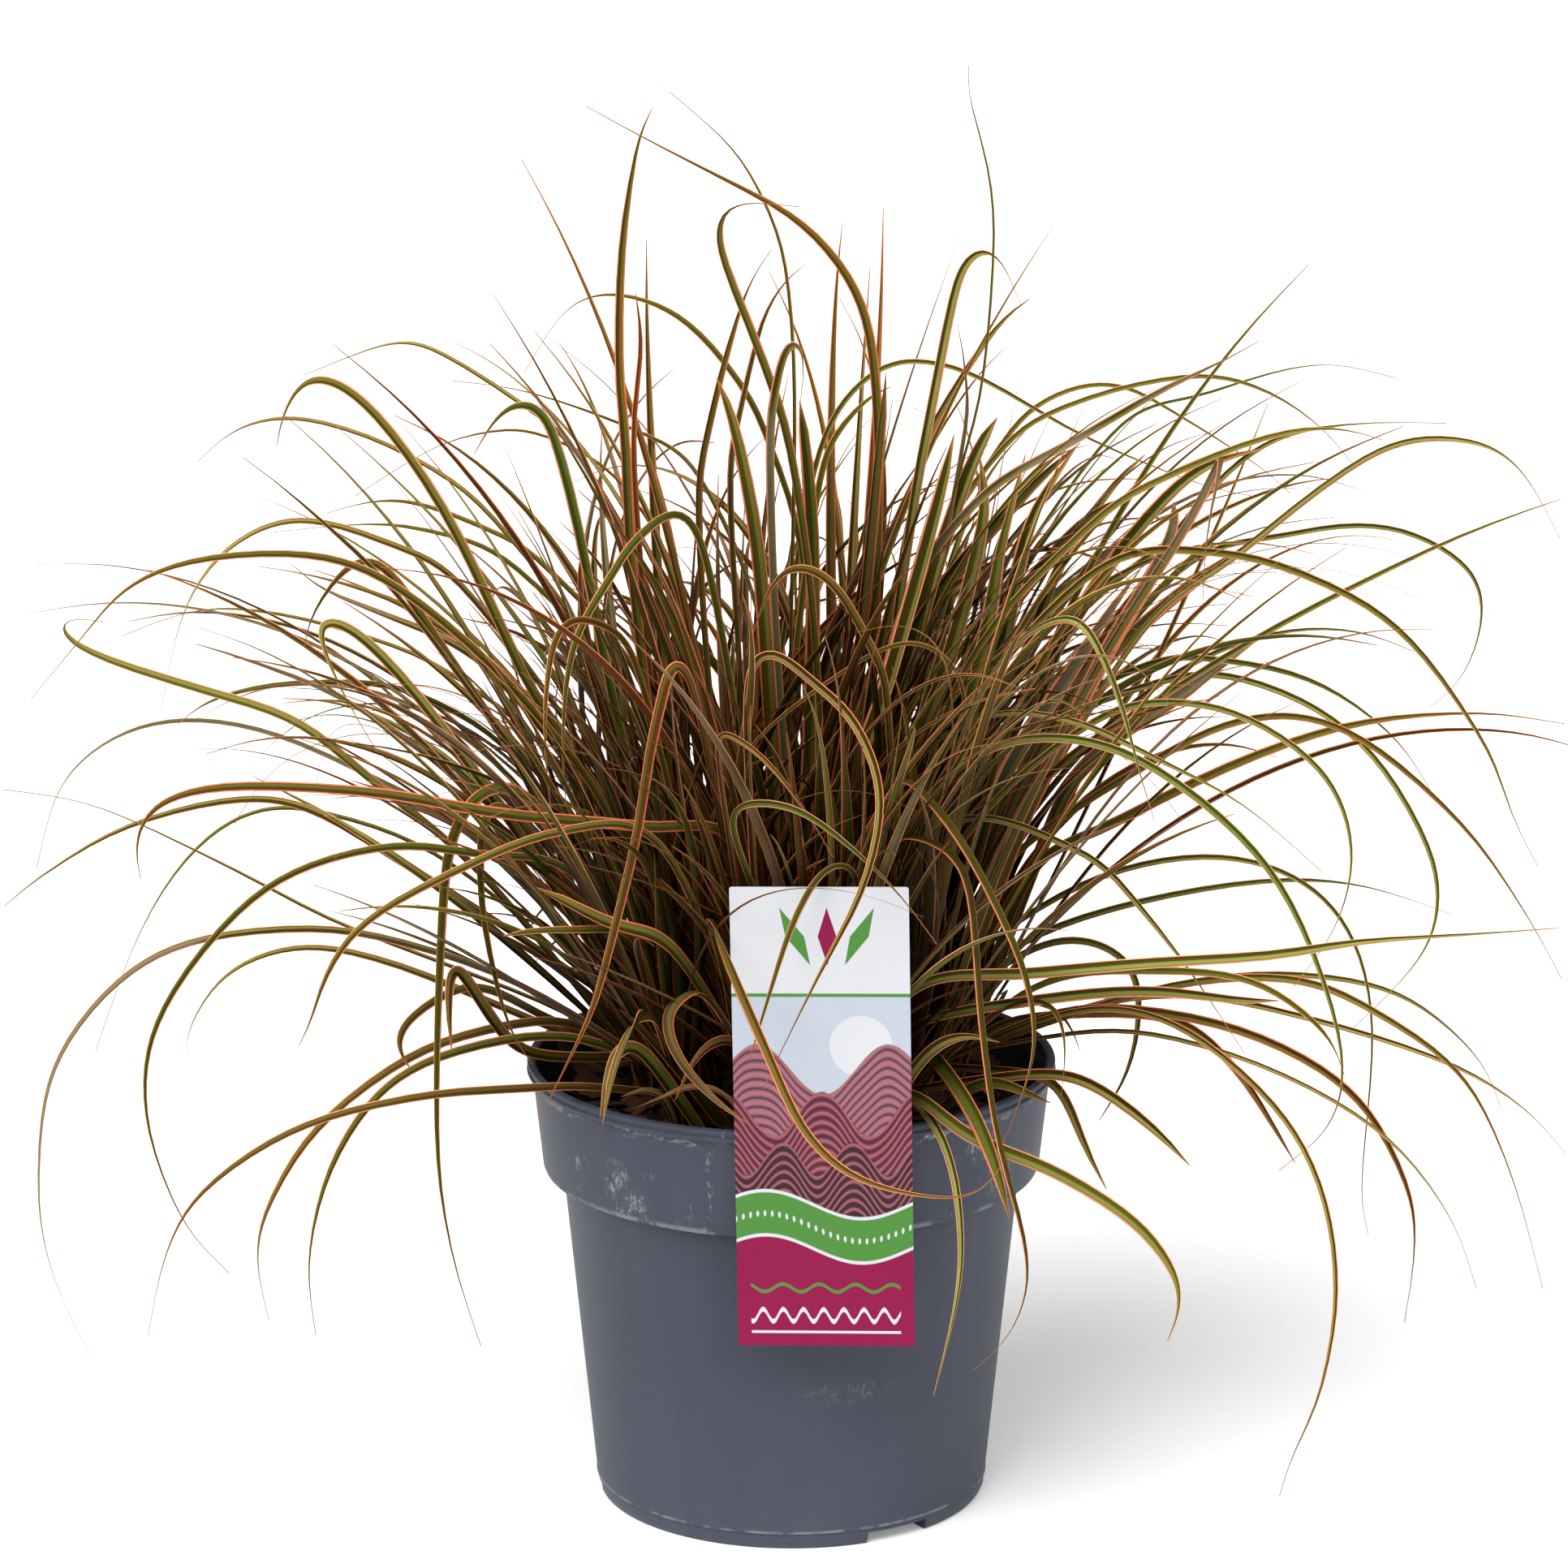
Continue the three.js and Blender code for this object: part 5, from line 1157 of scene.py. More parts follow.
@dataclass(frozen=True)
class GrowthRule:
    """The rule for leaves that aren't traced. Ranges are drawn from, and angles are radians."""

    steps: int = 12
    segments: int = 4
    height: tuple[float, float] = (0, 22)
    length: tuple[float, float] = (190, 350)
    width: tuple[float, float] = (2.6, 4.6)
    lean: float = 0.06
    lean_outwards: float = 0.5
    lean_spread: float = 0.14
    droop: tuple[float, float] = (0.35, 1.75)
    power: tuple[float, float] = (1.2, 2.4)
    curl: float = 0.7
    twist: float = 0.7
    tip_twist: float = 1.2
    turn_spread: float = 0.75
    turn_spread_inside: float = 1.6
    shorter_in_front: float = 0.3
    stiffer_in_front: float = 0.45
    shorter_outside: float = 0.1
    pull: float = 0.0
    fullness: float = 5.0
    slimming: float = 0.25

    def leaf(self, tuft: Tuft, draw: Draw) -> Leaf:
        """A leaf that leaves its base, arches over and droops.

        Args:
            tuft: The tuft that it grows from.
            draw: The draw that shapes it.

        Returns:
            The leaf.
        """
        height = CORE_SHOULDER + draw.between(*self.height)
        spread = self.turn_spread + self.turn_spread_inside * (1 - tuft.reach)
        around = tuft.turn + draw.between(-spread, spread)
        around -= self.pull * math.sin(around)
        outwards = self.lean_outwards * tuft.reach * draw.next()
        lean = self.lean + outwards + self.lean_spread * draw.next()
        front = max(0.0, -math.sin(around))
        droop = draw.between(*self.droop) * (1 - self.stiffer_in_front * front)
        shorter = (1 - self.shorter_in_front * front) * (1 - self.shorter_outside * tuft.reach)
        step = (draw.between(*self.length) * shorter) / self.steps
        power = draw.between(*self.power)
        curl = draw.between(-self.curl, self.curl)
        width = draw.between(*self.width)
        twist = draw.between(-self.twist, self.twist)
        tip_twist = twist + draw.between(-self.tip_twist, self.tip_twist)
        share = (np.arange(self.steps) + 0.5) / self.steps
        tilt = lean + droop * share ** power
        turn = around + curl * share
        flat = np.sin(tilt) * step
        moves = np.stack([np.cos(turn) * flat, np.sin(turn) * flat, np.cos(tilt) * step], axis=1)
        root = tuft.root_point(height, around)
        points = np.cumsum(np.vstack([root, moves]), axis=0)
        across = np.array([math.sin(around), -math.cos(around), 0.0])
        return Leaf(points, width, across, False, twist, tip_twist, self.segments, tuft,
                    fullness=self.fullness, slimming=self.slimming)


@dataclass(frozen=True)
class Eye:
    """Where the photograph was taken from, in millimetres, and how it frames the object."""

    distance: float = 1945
    height: float = 747
    pitch: float = 0.24435
    focal_pixels: float = 6955
    centre_x: float = 974.9

    def slide(self, x: float, z: float, y: float) -> list[float]:
        """Moves a point seen on the upright plane of the axis along the line of sight."""
        return [x * (1 + y / self.distance), y, z - (y * (self.height - z)) / self.distance]

    def seen(self, x: Array, y: Array, z: Array) -> tuple[Array, Array]:
        """Where points show on the upright plane of the axis, the reverse of a slide."""
        return x / (1 + y / self.distance), (z + y * self.height / self.distance) / (1 + y / self.distance)


EYE = Eye()


@dataclass
class Thicket:
    """The growing bunch, in which leaves of different tufts keep clear of each other.

    An opening is the left, right, low and high bound of a gap between bunches, as seen from the
    front, in millimetres like the other sizes.
    """

    count: int = 24
    radius: float = 60
    clearance: float = 0.45
    probe: float = 2.5
    core_radius: float = 5.6
    core_tip: float = 2.0
    openings: tuple[tuple[float, float, float, float], ...] = (
        (76, 135, 200, 264), (58, 84, 222, 250), (-260, -84, 338, 440),
        (-260, -118, 300, 340), (150, 290, 240, 318),
    )
    tufts: list[Tuft] = field(default_factory=list)
    stretches: list[tuple[Array, Array, float, float, int, bool]] = field(default_factory=list)
    table: Optional[dict[str, Array]] = None

    def __post_init__(self) -> None:
        """Lays out the tufts in a sunflower pattern."""
        for i in range(self.count):
            reach = math.sqrt((i + 0.5) / self.count)
            turn = i * GOLDEN_ANGLE
            x, y = self.radius * reach * math.cos(turn), self.radius * reach * math.sin(turn)
            self.tufts.append(Tuft(i, x, y, reach, turn))
        for tuft in self.tufts:
            foot, mid, top = (tuft.core_point(z) for z in (COMPOST_LEVEL, CORE_SHOULDER, CORE_TOP))
            self._occupy(foot, mid, self.core_radius, self.core_radius, tuft.index, False)
            self._occupy(mid, top, self.core_radius, self.core_tip, tuft.index, False)

    def _occupy(self, a: Array, b: Array, radius_a: float, radius_b: float, owner: int,
                loose: bool) -> None:
        """Records a stretch of a leaf or a base, with its radius at both ends."""
        self.stretches.append((a, b, radius_a, radius_b, owner, loose))
        self.table = None

    def _columns(self) -> dict[str, Array]:
        """The recorded stretches as arrays."""
        if self.table is None:
            a, b, radius_a, radius_b, owner, loose = (np.array(c) for c in zip(*self.stretches))
            reach = np.sqrt(row_dot(b - a, b - a)) / 2 + np.maximum(radius_a, radius_b)
            self.table = {"a": a, "b": b, "ra": radius_a, "rb": radius_b, "owner": owner,
                          "loose": loose, "middle": a + (b - a) * 0.5, "reach": reach}
        return self.table

    def _clear_of_pot(self, rings: Stations) -> bool:
        """Whether a leaf keeps clear of the ground, the pot, the compost and the tag.

        Args:
            rings: The leaf's rings.

        Returns:
            Whether it does.
        """
        low, high = rings.place[:-1], rings.place[1:]
        margins = rings.width[1:] / 2 + 1
        if np.any(high[:, 2] <= margins):
            return False
        span = high - low
        steps = np.ceil(np.sqrt(row_dot(span, span)) / self.probe).astype(int)
        shares = np.concatenate([np.arange(n + 1) / n for n in steps])
        which = np.repeat(np.arange(len(steps)), steps + 1)
        points = low[which] + span[which] * shares[:, None]
        margin = margins[which]
        x, y, z = points.T
        r = np.sqrt(x * x + y * y)
        near = (z < POT.height + margin) & (r < POT.lip + margin)
        inside = (r < POT.collar_top - POT.wall - 1 - margin) & (z > compost_height(x, y) + margin)
        return not np.any(near & ~inside) and not np.any(self._touches_tag(points, margin + 1))

    @staticmethod
    def _touches_tag(points: Array, margin: Array) -> Array:
        """Whether points come near the tag or its hook.

        Args:
            points: The points, one in each row.
            margin: How near each may come.

        Returns:
            One answer for each point.
        """
        x, y, z = points.T
        turn = math.radians(TAG.turn)
        across = x * math.cos(turn) + y * math.sin(turn)
        out = x * math.sin(turn) - y * math.cos(turn)
        card = ((np.abs(across - TAG.centre) < TAG.width / 2 + 2 + margin)
                & (z > TAG.bottom - 2 - margin) & (z < TAG.bottom + TAG.height + 2 + margin)
                & (out > POT.lip - margin) & (out < POT.lip + TAG.thickness + 0.5 + margin))
        hook = ((np.abs(across - TAG.hook_centre) < TAG.hook_width / 2 + margin)
                & (z < POT.height + 14 + margin) & (z > COMPOST_LEVEL)
                & (out > POT.lip - 10 - margin) & (out < POT.lip + margin))
        return card | hook

    def _clear_of_tufts(self, rings: Stations, owner: int, alone: bool) -> bool:
        """Whether a leaf keeps clear of the leaves and bases of the tufts.

        Args:
            rings: The leaf's rings.
            owner: The number of its tuft.
            alone: Whether it also keeps clear of the other leaves of its own tuft.

        Returns:
            Whether it does.
        """
        table = self._columns()
        low, high = rings.place[:-1], rings.place[1:]
        span = high - low
        middle = low + span * 0.5
        reach = np.sqrt(row_dot(span, span)) / 2 + rings.width[:-1] + self.clearance
        apart = middle[:, None] - table["middle"][None]
        near = row_dot(apart, apart) < (reach[:, None] + table["reach"][None]) ** 2
        own_too = (np.arange(len(low)) > 0) & alone
        other = (table["owner"] != owner)[None] | (own_too[:, None] & table["loose"][None])
        mine, theirs = np.nonzero(near & other)
        if len(mine) == 0:
            return True
        u, v = span[mine], (table["b"] - table["a"])[theirs]
        w = low[mine] - table["a"][theirs]
        a, b, c, d, e = row_dot(u, u), row_dot(u, v), row_dot(v, v), row_dot(u, w), row_dot(v, w)
        spread = a * c - b * b
        safe = np.where(spread > 1e-9, spread, 1.0)
        m = np.where(spread > 1e-9, np.clip((b * e - c * d) / safe, 0, 1), 0.0)
        n = np.clip((b * m + e) / c, 0, 1)
        m = np.clip((b * n - d) / a, 0, 1)
        gap = w + u * m[:, None] - v * n[:, None]
        distance = np.sqrt(row_dot(gap, gap))
        half = (rings.width[:-1][mine] + np.diff(rings.width)[mine] * m) / 2
        radius = table["ra"][theirs] + (table["rb"] - table["ra"])[theirs] * n
        return not np.any(distance < (half + radius) * 0.92 + self.clearance)

    def _fills_opening(self, places: Array) -> bool:
        """Whether a leaf would close a gap between bunches that is open to the front."""
        x, z = EYE.seen(*places.T)
        return any(np.any((x > left) & (x < right) & (z > low) & (z < high))
                   for left, right, low, high in self.openings)

    def _fits(self, leaf: Leaf, alone: bool) -> bool:
        """Whether a leaf keeps clear of everything, when alone of its own tuft as well."""
        rings = leaf.stations(leaf.count)
        return self._clear_of_pot(rings) and self._clear_of_tufts(rings, leaf.tuft.index, alone)

    def _grow(self, leaf: Leaf) -> None:
        """Adds a leaf to its tuft and records where it goes.

        Args:
            leaf: The leaf.
        """
        leaf.tuft.leaves.append(leaf)
        rings = leaf.stations(leaf.count)
        for i in range(1, len(rings.place)):
            self._occupy(rings.place[i - 1], rings.place[i], rings.width[i - 1] / 2,
                         rings.width[i] / 2, leaf.tuft.index, i > 1)

    @staticmethod
    def _traced_leaf(entry: Course, tuft: Tuft, tip_depth: float, order: int) -> Leaf:
        """A traced leaf from a tuft.

        Args:
            entry: The leaf's width, root, tip depth and course.
            tuft: The tuft that it grows from.
            tip_depth: How far back its tip lies, in millimetres.
            order: The number that seeds its draws.

        Returns:
            The leaf.
        """
        width, flat = entry[0], entry[4]
        draw = Draw(500 + order)
        height = CORE_SHOULDER + draw.between(2, 16)
        start = tuft.root_point(height, math.atan2(-tuft.y, flat[0] - tuft.x))
        seen = np.array(flat, float).reshape(-1, 2)
        course = np.vstack([[start[0], start[2]], seen])
        lengths = np.cumsum(np.sqrt(np.sum(np.diff(course, axis=0) ** 2, axis=1)))
        points = [start]
        for (x, z), length in zip(seen, lengths):
            share = length / lengths[-1]
            forward = 1 - (1 - share) ** 2.2 if tip_depth < -90 else share
            points.append(np.array(EYE.slide(x, z, start[1] + (tip_depth - start[1]) * forward)))
        count = max(5, math.floor(lengths[-1] / 50 + 0.5))
        facing = draw.between(-0.8, 0.8)
        face = np.array([math.sin(facing), -math.cos(facing), draw.between(0.1, 0.5)])
        leaf = Leaf(np.array(points), width, face, True, 0.0, draw.between(-0.5, 0.5), count, tuft)
        leaf.fore = 1.0
        if lengths[-1] < 170:
            leaf.fullness, leaf.slimming = 5.0, 0.2
            leaf.breadth = 0.9 + 0.6 * min(1.0, (170 - lengths[-1]) / 110)
        return leaf

    def trace(self, entry: Course, order: int) -> bool:
        """Adds a traced leaf on a tuft near its root, moving its tip in depth till it is clear.

        Args:
            entry: The leaf's width, root, tip depth and course.
            order: Its number in the list.

        Returns:
            Whether a clear place was found.
        """
        def away(tuft: Tuft) -> float:
            """The square of the distance to the root."""
            return (tuft.x - entry[1]) ** 2 + (tuft.y - entry[2]) ** 2

        nearest = sorted(self.tufts, key=away)[:5]
        for alone in (True, False):
            for shift in range(25):
                depth = entry[3] + (6 if shift % 2 == 0 else -6) * math.ceil(shift / 2)
                for tuft in nearest:
                    leaf = self._traced_leaf(entry, tuft, depth, order)
                    if self._fits(leaf, alone):
                        self._grow(leaf)
                        return True
        return False

    def lay(self, entry: Course, order: int) -> None:
        """Adds a traced leaf that may touch its neighbours, on the tuft nearest to its root.

        Args:
            entry: The leaf's width, root, tip depth and course.
            order: The number that seeds its draws.
        """
        tuft = min(self.tufts, key=lambda t: (t.x - entry[1]) ** 2 + (t.y - entry[2]) ** 2)
        leaf = self._traced_leaf(entry, tuft, entry[3], order)
        leaf.fore, leaf.breadth, leaf.fullness, leaf.slimming = 0.7, 1.3, 6.0, 0.1
        tuft.leaves.append(leaf)

    def fill(self, rule: GrowthRule, rounds: int = 7, tries: int = 30, tries_alone: int = 24) -> None:
        """Adds leaves by a rule, drawing each again till it is clear.

        Args:
            rule: The rule that shapes them.
            rounds: How many each tuft gets, where there is room.
            tries: How often a leaf is drawn.
            tries_alone: How many of these keep clear of the leaves of the same tuft as well.
        """
        for turn in range(rounds):
            for tuft in self.tufts:
                draw = Draw(9000 + tuft.index * 97 + turn * 3571)
                for i in range(tries):
                    leaf = rule.leaf(tuft, draw)
                    if self._fits(leaf, i < tries_alone):
                        leaf.fore = 0.6
                        self._grow(leaf)
                        break

    def thicken(self, rule: GrowthRule, rounds: int, seed: int, dry: float, tries: int = 12) -> None:
        """Adds finer leaves between the others, clear of the pot and the tag alone.

        Args:
            rule: The rule that shapes them.
            rounds: How many each tuft gets.
            seed: The start of the draws.
            dry: How withered they are, from 0 to 1.
            tries: How often a leaf is drawn.
        """
        for turn in range(rounds):
            for tuft in self.tufts:
                draw = Draw(seed + tuft.index * 131 + turn * 2741)
                for _ in range(tries):
                    leaf = rule.leaf(tuft, draw)
                    rings = leaf.stations(10)
                    if self._clear_of_pot(rings) and not self._fills_opening(rings.place):
                        leaf.dry = dry
                        tuft.leaves.append(leaf)
                        break


def leaf_recipe() -> Recipe:
    """The tree that sweeps a channelled, keeled section along each line of a mesh."""
    recipe = Recipe("leaf_sweep", {
        "Section Points": "Int", "Channel": "Float", "Keel": "Float", "Material": "Material",
    })
    lines = recipe.node("GeometryNodeMeshToCurve", None, {"Mesh": recipe.given["Geometry"]})["Curve"]
    normal = {"Curve": lines, "Normal": recipe.named("lift", "FLOAT_VECTOR")}
    lines = recipe.node("GeometryNodeSetCurveNormal", {"mode": "FREE"}, normal)["Curve"]
    circle = recipe.node("GeometryNodeCurvePrimitiveCircle", {"mode": "RADIUS"},
                         {"Resolution": recipe.given["Section Points"], "Radius": 1.0})["Curve"]
    place = recipe.node("GeometryNodeInputPosition")["Position"]
    parts = recipe.node("ShaderNodeSeparateXYZ", None, {"Vector": place})
    across, rise = parts["Y"], parts["X"]
    upper = (rise * 1000 + 0.5).clamp()
    circle = recipe.store(circle, "across", across)
    circle = recipe.store(circle, "upper", upper)
    size = abs(recipe.named("across"))
    under = 1 - recipe.named("upper")
    level = size * recipe.given["Channel"] - under * (1 - size) * recipe.given["Keel"]
    spot = recipe.node("ShaderNodeCombineXYZ", None, {"X": level, "Y": recipe.named("across")})
    section = recipe.node("GeometryNodeSetPosition", None,
                          {"Geometry": circle, "Position": spot["Vector"]})["Geometry"]
    inputs = {"Curve": lines, "Profile Curve": section, "Scale": recipe.named("half_width"),
              "Fill Caps": True}
    leaves = recipe.node("GeometryNodeCurveToMesh", None, inputs)["Mesh"]
    smooth = recipe.node("GeometryNodeSetShadeSmooth", None, {"Geometry": leaves})["Geometry"]
    recipe.end(smooth)
    return recipe


@dataclass
class LeafSweep:
    """Makes meshes of leaves: their section, and how a leaf is led down into the compost.

    A root goes down to a height, is drawn towards the pot's axis by a share, strays a little to
    the side, and bends over a length. Lengths are in millimetres.
    """

    section_points: int = 8
    channel: float = 0.5
    keel: float = 0.24
    root_height: float = 138.0
    root_inwards: float = 0.86
    root_stray: float = 2.6
    root_bend: float = 9
    recipe: Recipe = field(default_factory=leaf_recipe)

    def _courses(self, leaf: Leaf, seed: int, rooted: bool) -> tuple[Array, Array, Array]:
        """What the tree needs of a leaf.

        Args:
            leaf: The leaf.
            seed: The start of the draw that sets its root aside.
            rooted: Whether it is led down into the compost.

        Returns:
            Its places, the way that its face looks and its numbers, from the root to the tip.
        """
        rings = leaf.fine()
        place, half, run = rings.place, rings.width / 2, rings.share
        lift = np.cross(rings.side, rings.direction)
        if rooted:
            root, way = place[0], rings.direction[0]
            draw = Draw(seed)
            stray = [draw.between(-self.root_stray, self.root_stray) for _ in range(2)]
            sunk = np.array([root[0] * self.root_inwards, root[1] * self.root_inwards, self.root_height])
            sunk = sunk + np.array([*stray, 0.0])
            knee = 0.25 * sunk + 0.5 * (root - way * self.root_bend) + 0.25 * root
            place = np.vstack([sunk, knee, place])
            lift = np.vstack([lift[:1], lift[:1], lift])
            half = np.concatenate([[half[0] * 1.25, half[0] * 1.15], half])
            run = np.concatenate([[0, 0], run])
        own = [np.full(len(place), value) for value in (leaf.tone, leaf.dry, leaf.fore)]
        return place, lift, np.stack([half * MM, run, *own], axis=1)

    def piece(self, name: str, leaves: Iterable[Leaf], material: bpy.types.Material,
              rooted: bool = True) -> bpy.types.Object:
        """Makes one piece of leaves.

        Args:
            name: The piece's name.
            leaves: The leaves.
            material: Their finish.
            rooted: Whether each leaf is led down into the compost.

        Returns:
            The piece.
        """
        parts: list[tuple[Array, Array, Array]] = []
        edges: list[tuple[int, int]] = []
        start = 0
        for leaf in leaves:
            parts.append(self._courses(leaf, int(leaf.tone * 1e6) + start, rooted))
            count = len(parts[-1][0])
            edges.extend((start + i, start + i + 1) for i in range(count - 1))
            start += count
        places, lifts, numbers = (np.vstack(rows) for rows in zip(*parts))
        mesh = bpy.data.meshes.new(name)
        mesh.from_pydata((places * MM).tolist(), edges, [])
        raised = mesh.attributes.new("lift", "FLOAT_VECTOR", "POINT")
        raised.data.foreach_set("vector", lifts.ravel())
        for k, label in enumerate(("half_width", "run", "tone", "dry", "fore")):
            column = mesh.attributes.new(label, "FLOAT", "POINT")
            column.data.foreach_set("value", np.ascontiguousarray(numbers[:, k]))
        return self.recipe.apply(new_piece(name, mesh), {
            "Section Points": self.section_points, "Channel": self.channel, "Keel": self.keel,
            "Material": material,
        })


@dataclass
class Plant:
    """The sedge: its tufts of leaves, with finer and withered ones between them."""

    inner: GrowthRule = GrowthRule(length=(140, 235), width=(3.4, 5.4), droop=(0.1, 1.0),
                                   power=(1.8, 3.2), curl=0.9, lean_outwards=0.42)
    sunward: GrowthRule = GrowthRule(length=(185, 315), width=(3.2, 5.0), droop=(0.7, 2.2), pull=0.9,
                                     power=(1.7, 3.0), lean_outwards=0.3, height=(0, 30), curl=1.4)
    upright: GrowthRule = GrowthRule(length=(195, 290), width=(3.0, 4.8), droop=(0.5, 2.1), pull=0.6,
                                     power=(1.9, 3.4), lean_outwards=0.25, height=(0, 30), curl=1.6)
    leftward: GrowthRule = GrowthRule(length=(120, 240), width=(3.0, 4.8), droop=(0.2, 1.0), pull=-0.9,
                                      lean=0.4, lean_outwards=0.5)
    finer: GrowthRule = GrowthRule(length=(170, 320), width=(2.0, 3.6), droop=(0.9, 2.2), pull=0.5,
                                   curl=1.3, slimming=0.5)
    thread: GrowthRule = GrowthRule(length=(240, 360), width=(0.7, 1.2), droop=(1.5, 2.7), curl=1.6,
                                    power=(1.5, 2.4), pull=0.4)
    withered: GrowthRule = GrowthRule(length=(60, 150), width=(1.8, 3.4), droop=(1.2, 2.6), curl=2.0)
    sheaf_seed: int = 300

    # The short broad blades that lean over the rim at the front: their widths and their points.
    rim_blades: tuple[tuple[float, list[tuple[float, float, float]]], ...] = (
        (6.4, [(-22, -44, 146), (-34, -52, 165), (-48, -58, 184), (-60, -62, 197)]),
        (5.6, [(-30, -52, 146), (-43, -58, 168), (-56, -64, 186), (-63, -72, 179), (-66, -80, 163)]),
        (3.0, [(-40, -54, 148), (-44, -58, 164), (-51, -62, 169), (-59, -65, 166)]),
        (4.6, [(-14, -60, 146), (-12, -66, 172), (-20, -72, 190), (-32, -78, 186), (-40, -82, 170)]),
        (5.0, [(30, -58, 146), (36, -66, 166), (46, -72, 184), (58, -74, 192), (72, -72, 188)]),
        (4.4, [(44, -46, 146), (56, -54, 162), (70, -62, 172), (82, -68, 168), (90, -72, 166)]),
    )

    # The close sheaf of broad blades at the right and the upright ones beside it, given as the
    # traced courses are.
    sheaf: tuple[Course, ...] = (
        (5.0, 48, -12, -25, [81, 246, 91, 268, 100, 288, 109, 307, 119, 325, 129, 342, 136, 360, 134, 364]),
        (5.2, 44, 2, 5, [75, 246, 87, 272, 96, 289, 106, 307, 115, 323, 125, 336, 140, 355]),
        (5.4, 50, 14, 20, [79, 246, 92, 275, 103, 296, 113, 315, 123, 332, 133, 353]),
        (5.4, 42, -6, -12, [69, 246, 79, 270, 91, 289, 100, 303, 109, 319, 123, 340]),
        (4.4, 38, 8, 25, [65, 246, 74, 272, 83, 291, 94, 311, 115, 345, 137, 371, 150, 379, 165, 383]),
        (3.6, 36, 18, 40, [62, 246, 68, 270, 73, 289, 81, 303, 94, 340, 113, 370, 124, 381]),
        (5.2, 30, 4, 10, [56, 246, 65, 270, 71, 293, 75, 313, 80, 340, 86, 362, 100, 384]),
        (4.2, 54, 10, 30, [95, 254, 106, 270, 117, 281, 135, 292, 152, 306, 170, 319]),
        (4.0, 50, 20, 45, [85, 270, 100, 293, 114, 311, 128, 324, 142, 336, 156, 345, 170, 355]),
        (5.0, 26, -8, 0, [52, 246, 59, 272, 65, 299, 70, 325, 73, 346, 82, 381]),
        (4.6, 22, 16, 30, [42, 266, 52, 289, 65, 309, 75, 325, 92, 346, 105, 360, 118, 366]),
        (4.8, 18, 0, 15, [37, 299, 47, 325, 58, 341, 71, 356, 86, 372, 101, 385]),
        (5.0, 8, -6, -10, [14, 246, 22, 300, 27, 350, 31, 392, 33, 410]),
        (5.2, 14, -14, -22, [20, 246, 34, 296, 46, 340, 54, 372, 57, 388]),
        (4.6, 2, 4, 12, [6, 246, 8, 300, 8, 350, 5, 388, 3, 400]),
        (4.8, 20, 6, 14, [26, 246, 40, 300, 54, 350, 66, 384, 72, 394]),
        (4.2, -6, 10, 20, [-6, 246, -8, 300, -12, 350, -20, 392, -26, 408]),
        (4.4, 26, -4, -6, [34, 246, 52, 296, 62, 332, 68, 362, 66, 380]),
    )

    def _grow_blades(self, thicket: Thicket) -> None:
        """Adds the short broad blades that lean over the rim at the front."""
        for order, (width, points) in enumerate(self.rim_blades):
            x, y, _ = points[0]
            tuft = min(thicket.tufts, key=lambda t: (t.x - x) ** 2 + (t.y - y) ** 2)
            tuft.leaves.append(Leaf(
                np.array(points, float), width, np.array([0.2, -1.0, 0.6]), traced=True,
                twist=0.1 * order, tip_twist=0.5, count=4, tuft=tuft,
                fore=0.8, fullness=4.0, slimming=0.3, breadth=1.0,
            ))

    def _grow(self) -> Thicket:
        """Grows the leaves of the solids, and then those between them."""
        thicket = Thicket()
        missed = [order for order, entry in enumerate(TRACED) if not thicket.trace(entry, order)]
        thicket.fill(GrowthRule())
        solid = sum(len(tuft.leaves) for tuft in thicket.tufts)
        log.info("leaves in the solids: %d, not placed: %s", solid, missed)
        layers = ((self.inner, 4, 23000, 0.0), (self.sunward, 2, 27000, 0.0),
                  (self.upright, 3, 41000, 0.0), (self.leftward, 2, 47000, 0.0),
                  (self.finer, 4, 31000, 0.0), (self.thread, 2, 57000, 0.45),
                  (self.withered, 1, 83000, 0.95))
        for rule, rounds, seed, dry in layers:
            thicket.thicken(rule, rounds, seed, dry)
        self._grow_blades(thicket)
        for order, entry in enumerate(self.sheaf):
            thicket.lay(entry, self.sheaf_seed + order)
        return thicket

    def build(self) -> None:
        """Grows the leaves and makes one piece for each tuft."""
        thicket = self._grow()
        sweep = LeafSweep()
        tones = list(LeafTone)
        paints = [LeafFinish(tone).material() for tone in tones]
        for tuft in thicket.tufts:
            draw = Draw(770 + tuft.index)
            for leaf in tuft.leaves:
                leaf.tone = draw.next() * (0.7 if leaf.points[-1][0] > 60 else 1.0)
            name = f"tuft_{tuft.index + 1:02d}"
            kind = tuft.index % len(tones)
            piece = sweep.piece(name + "_leaves", tuft.leaves, paints[kind])
            seat(piece, [name])


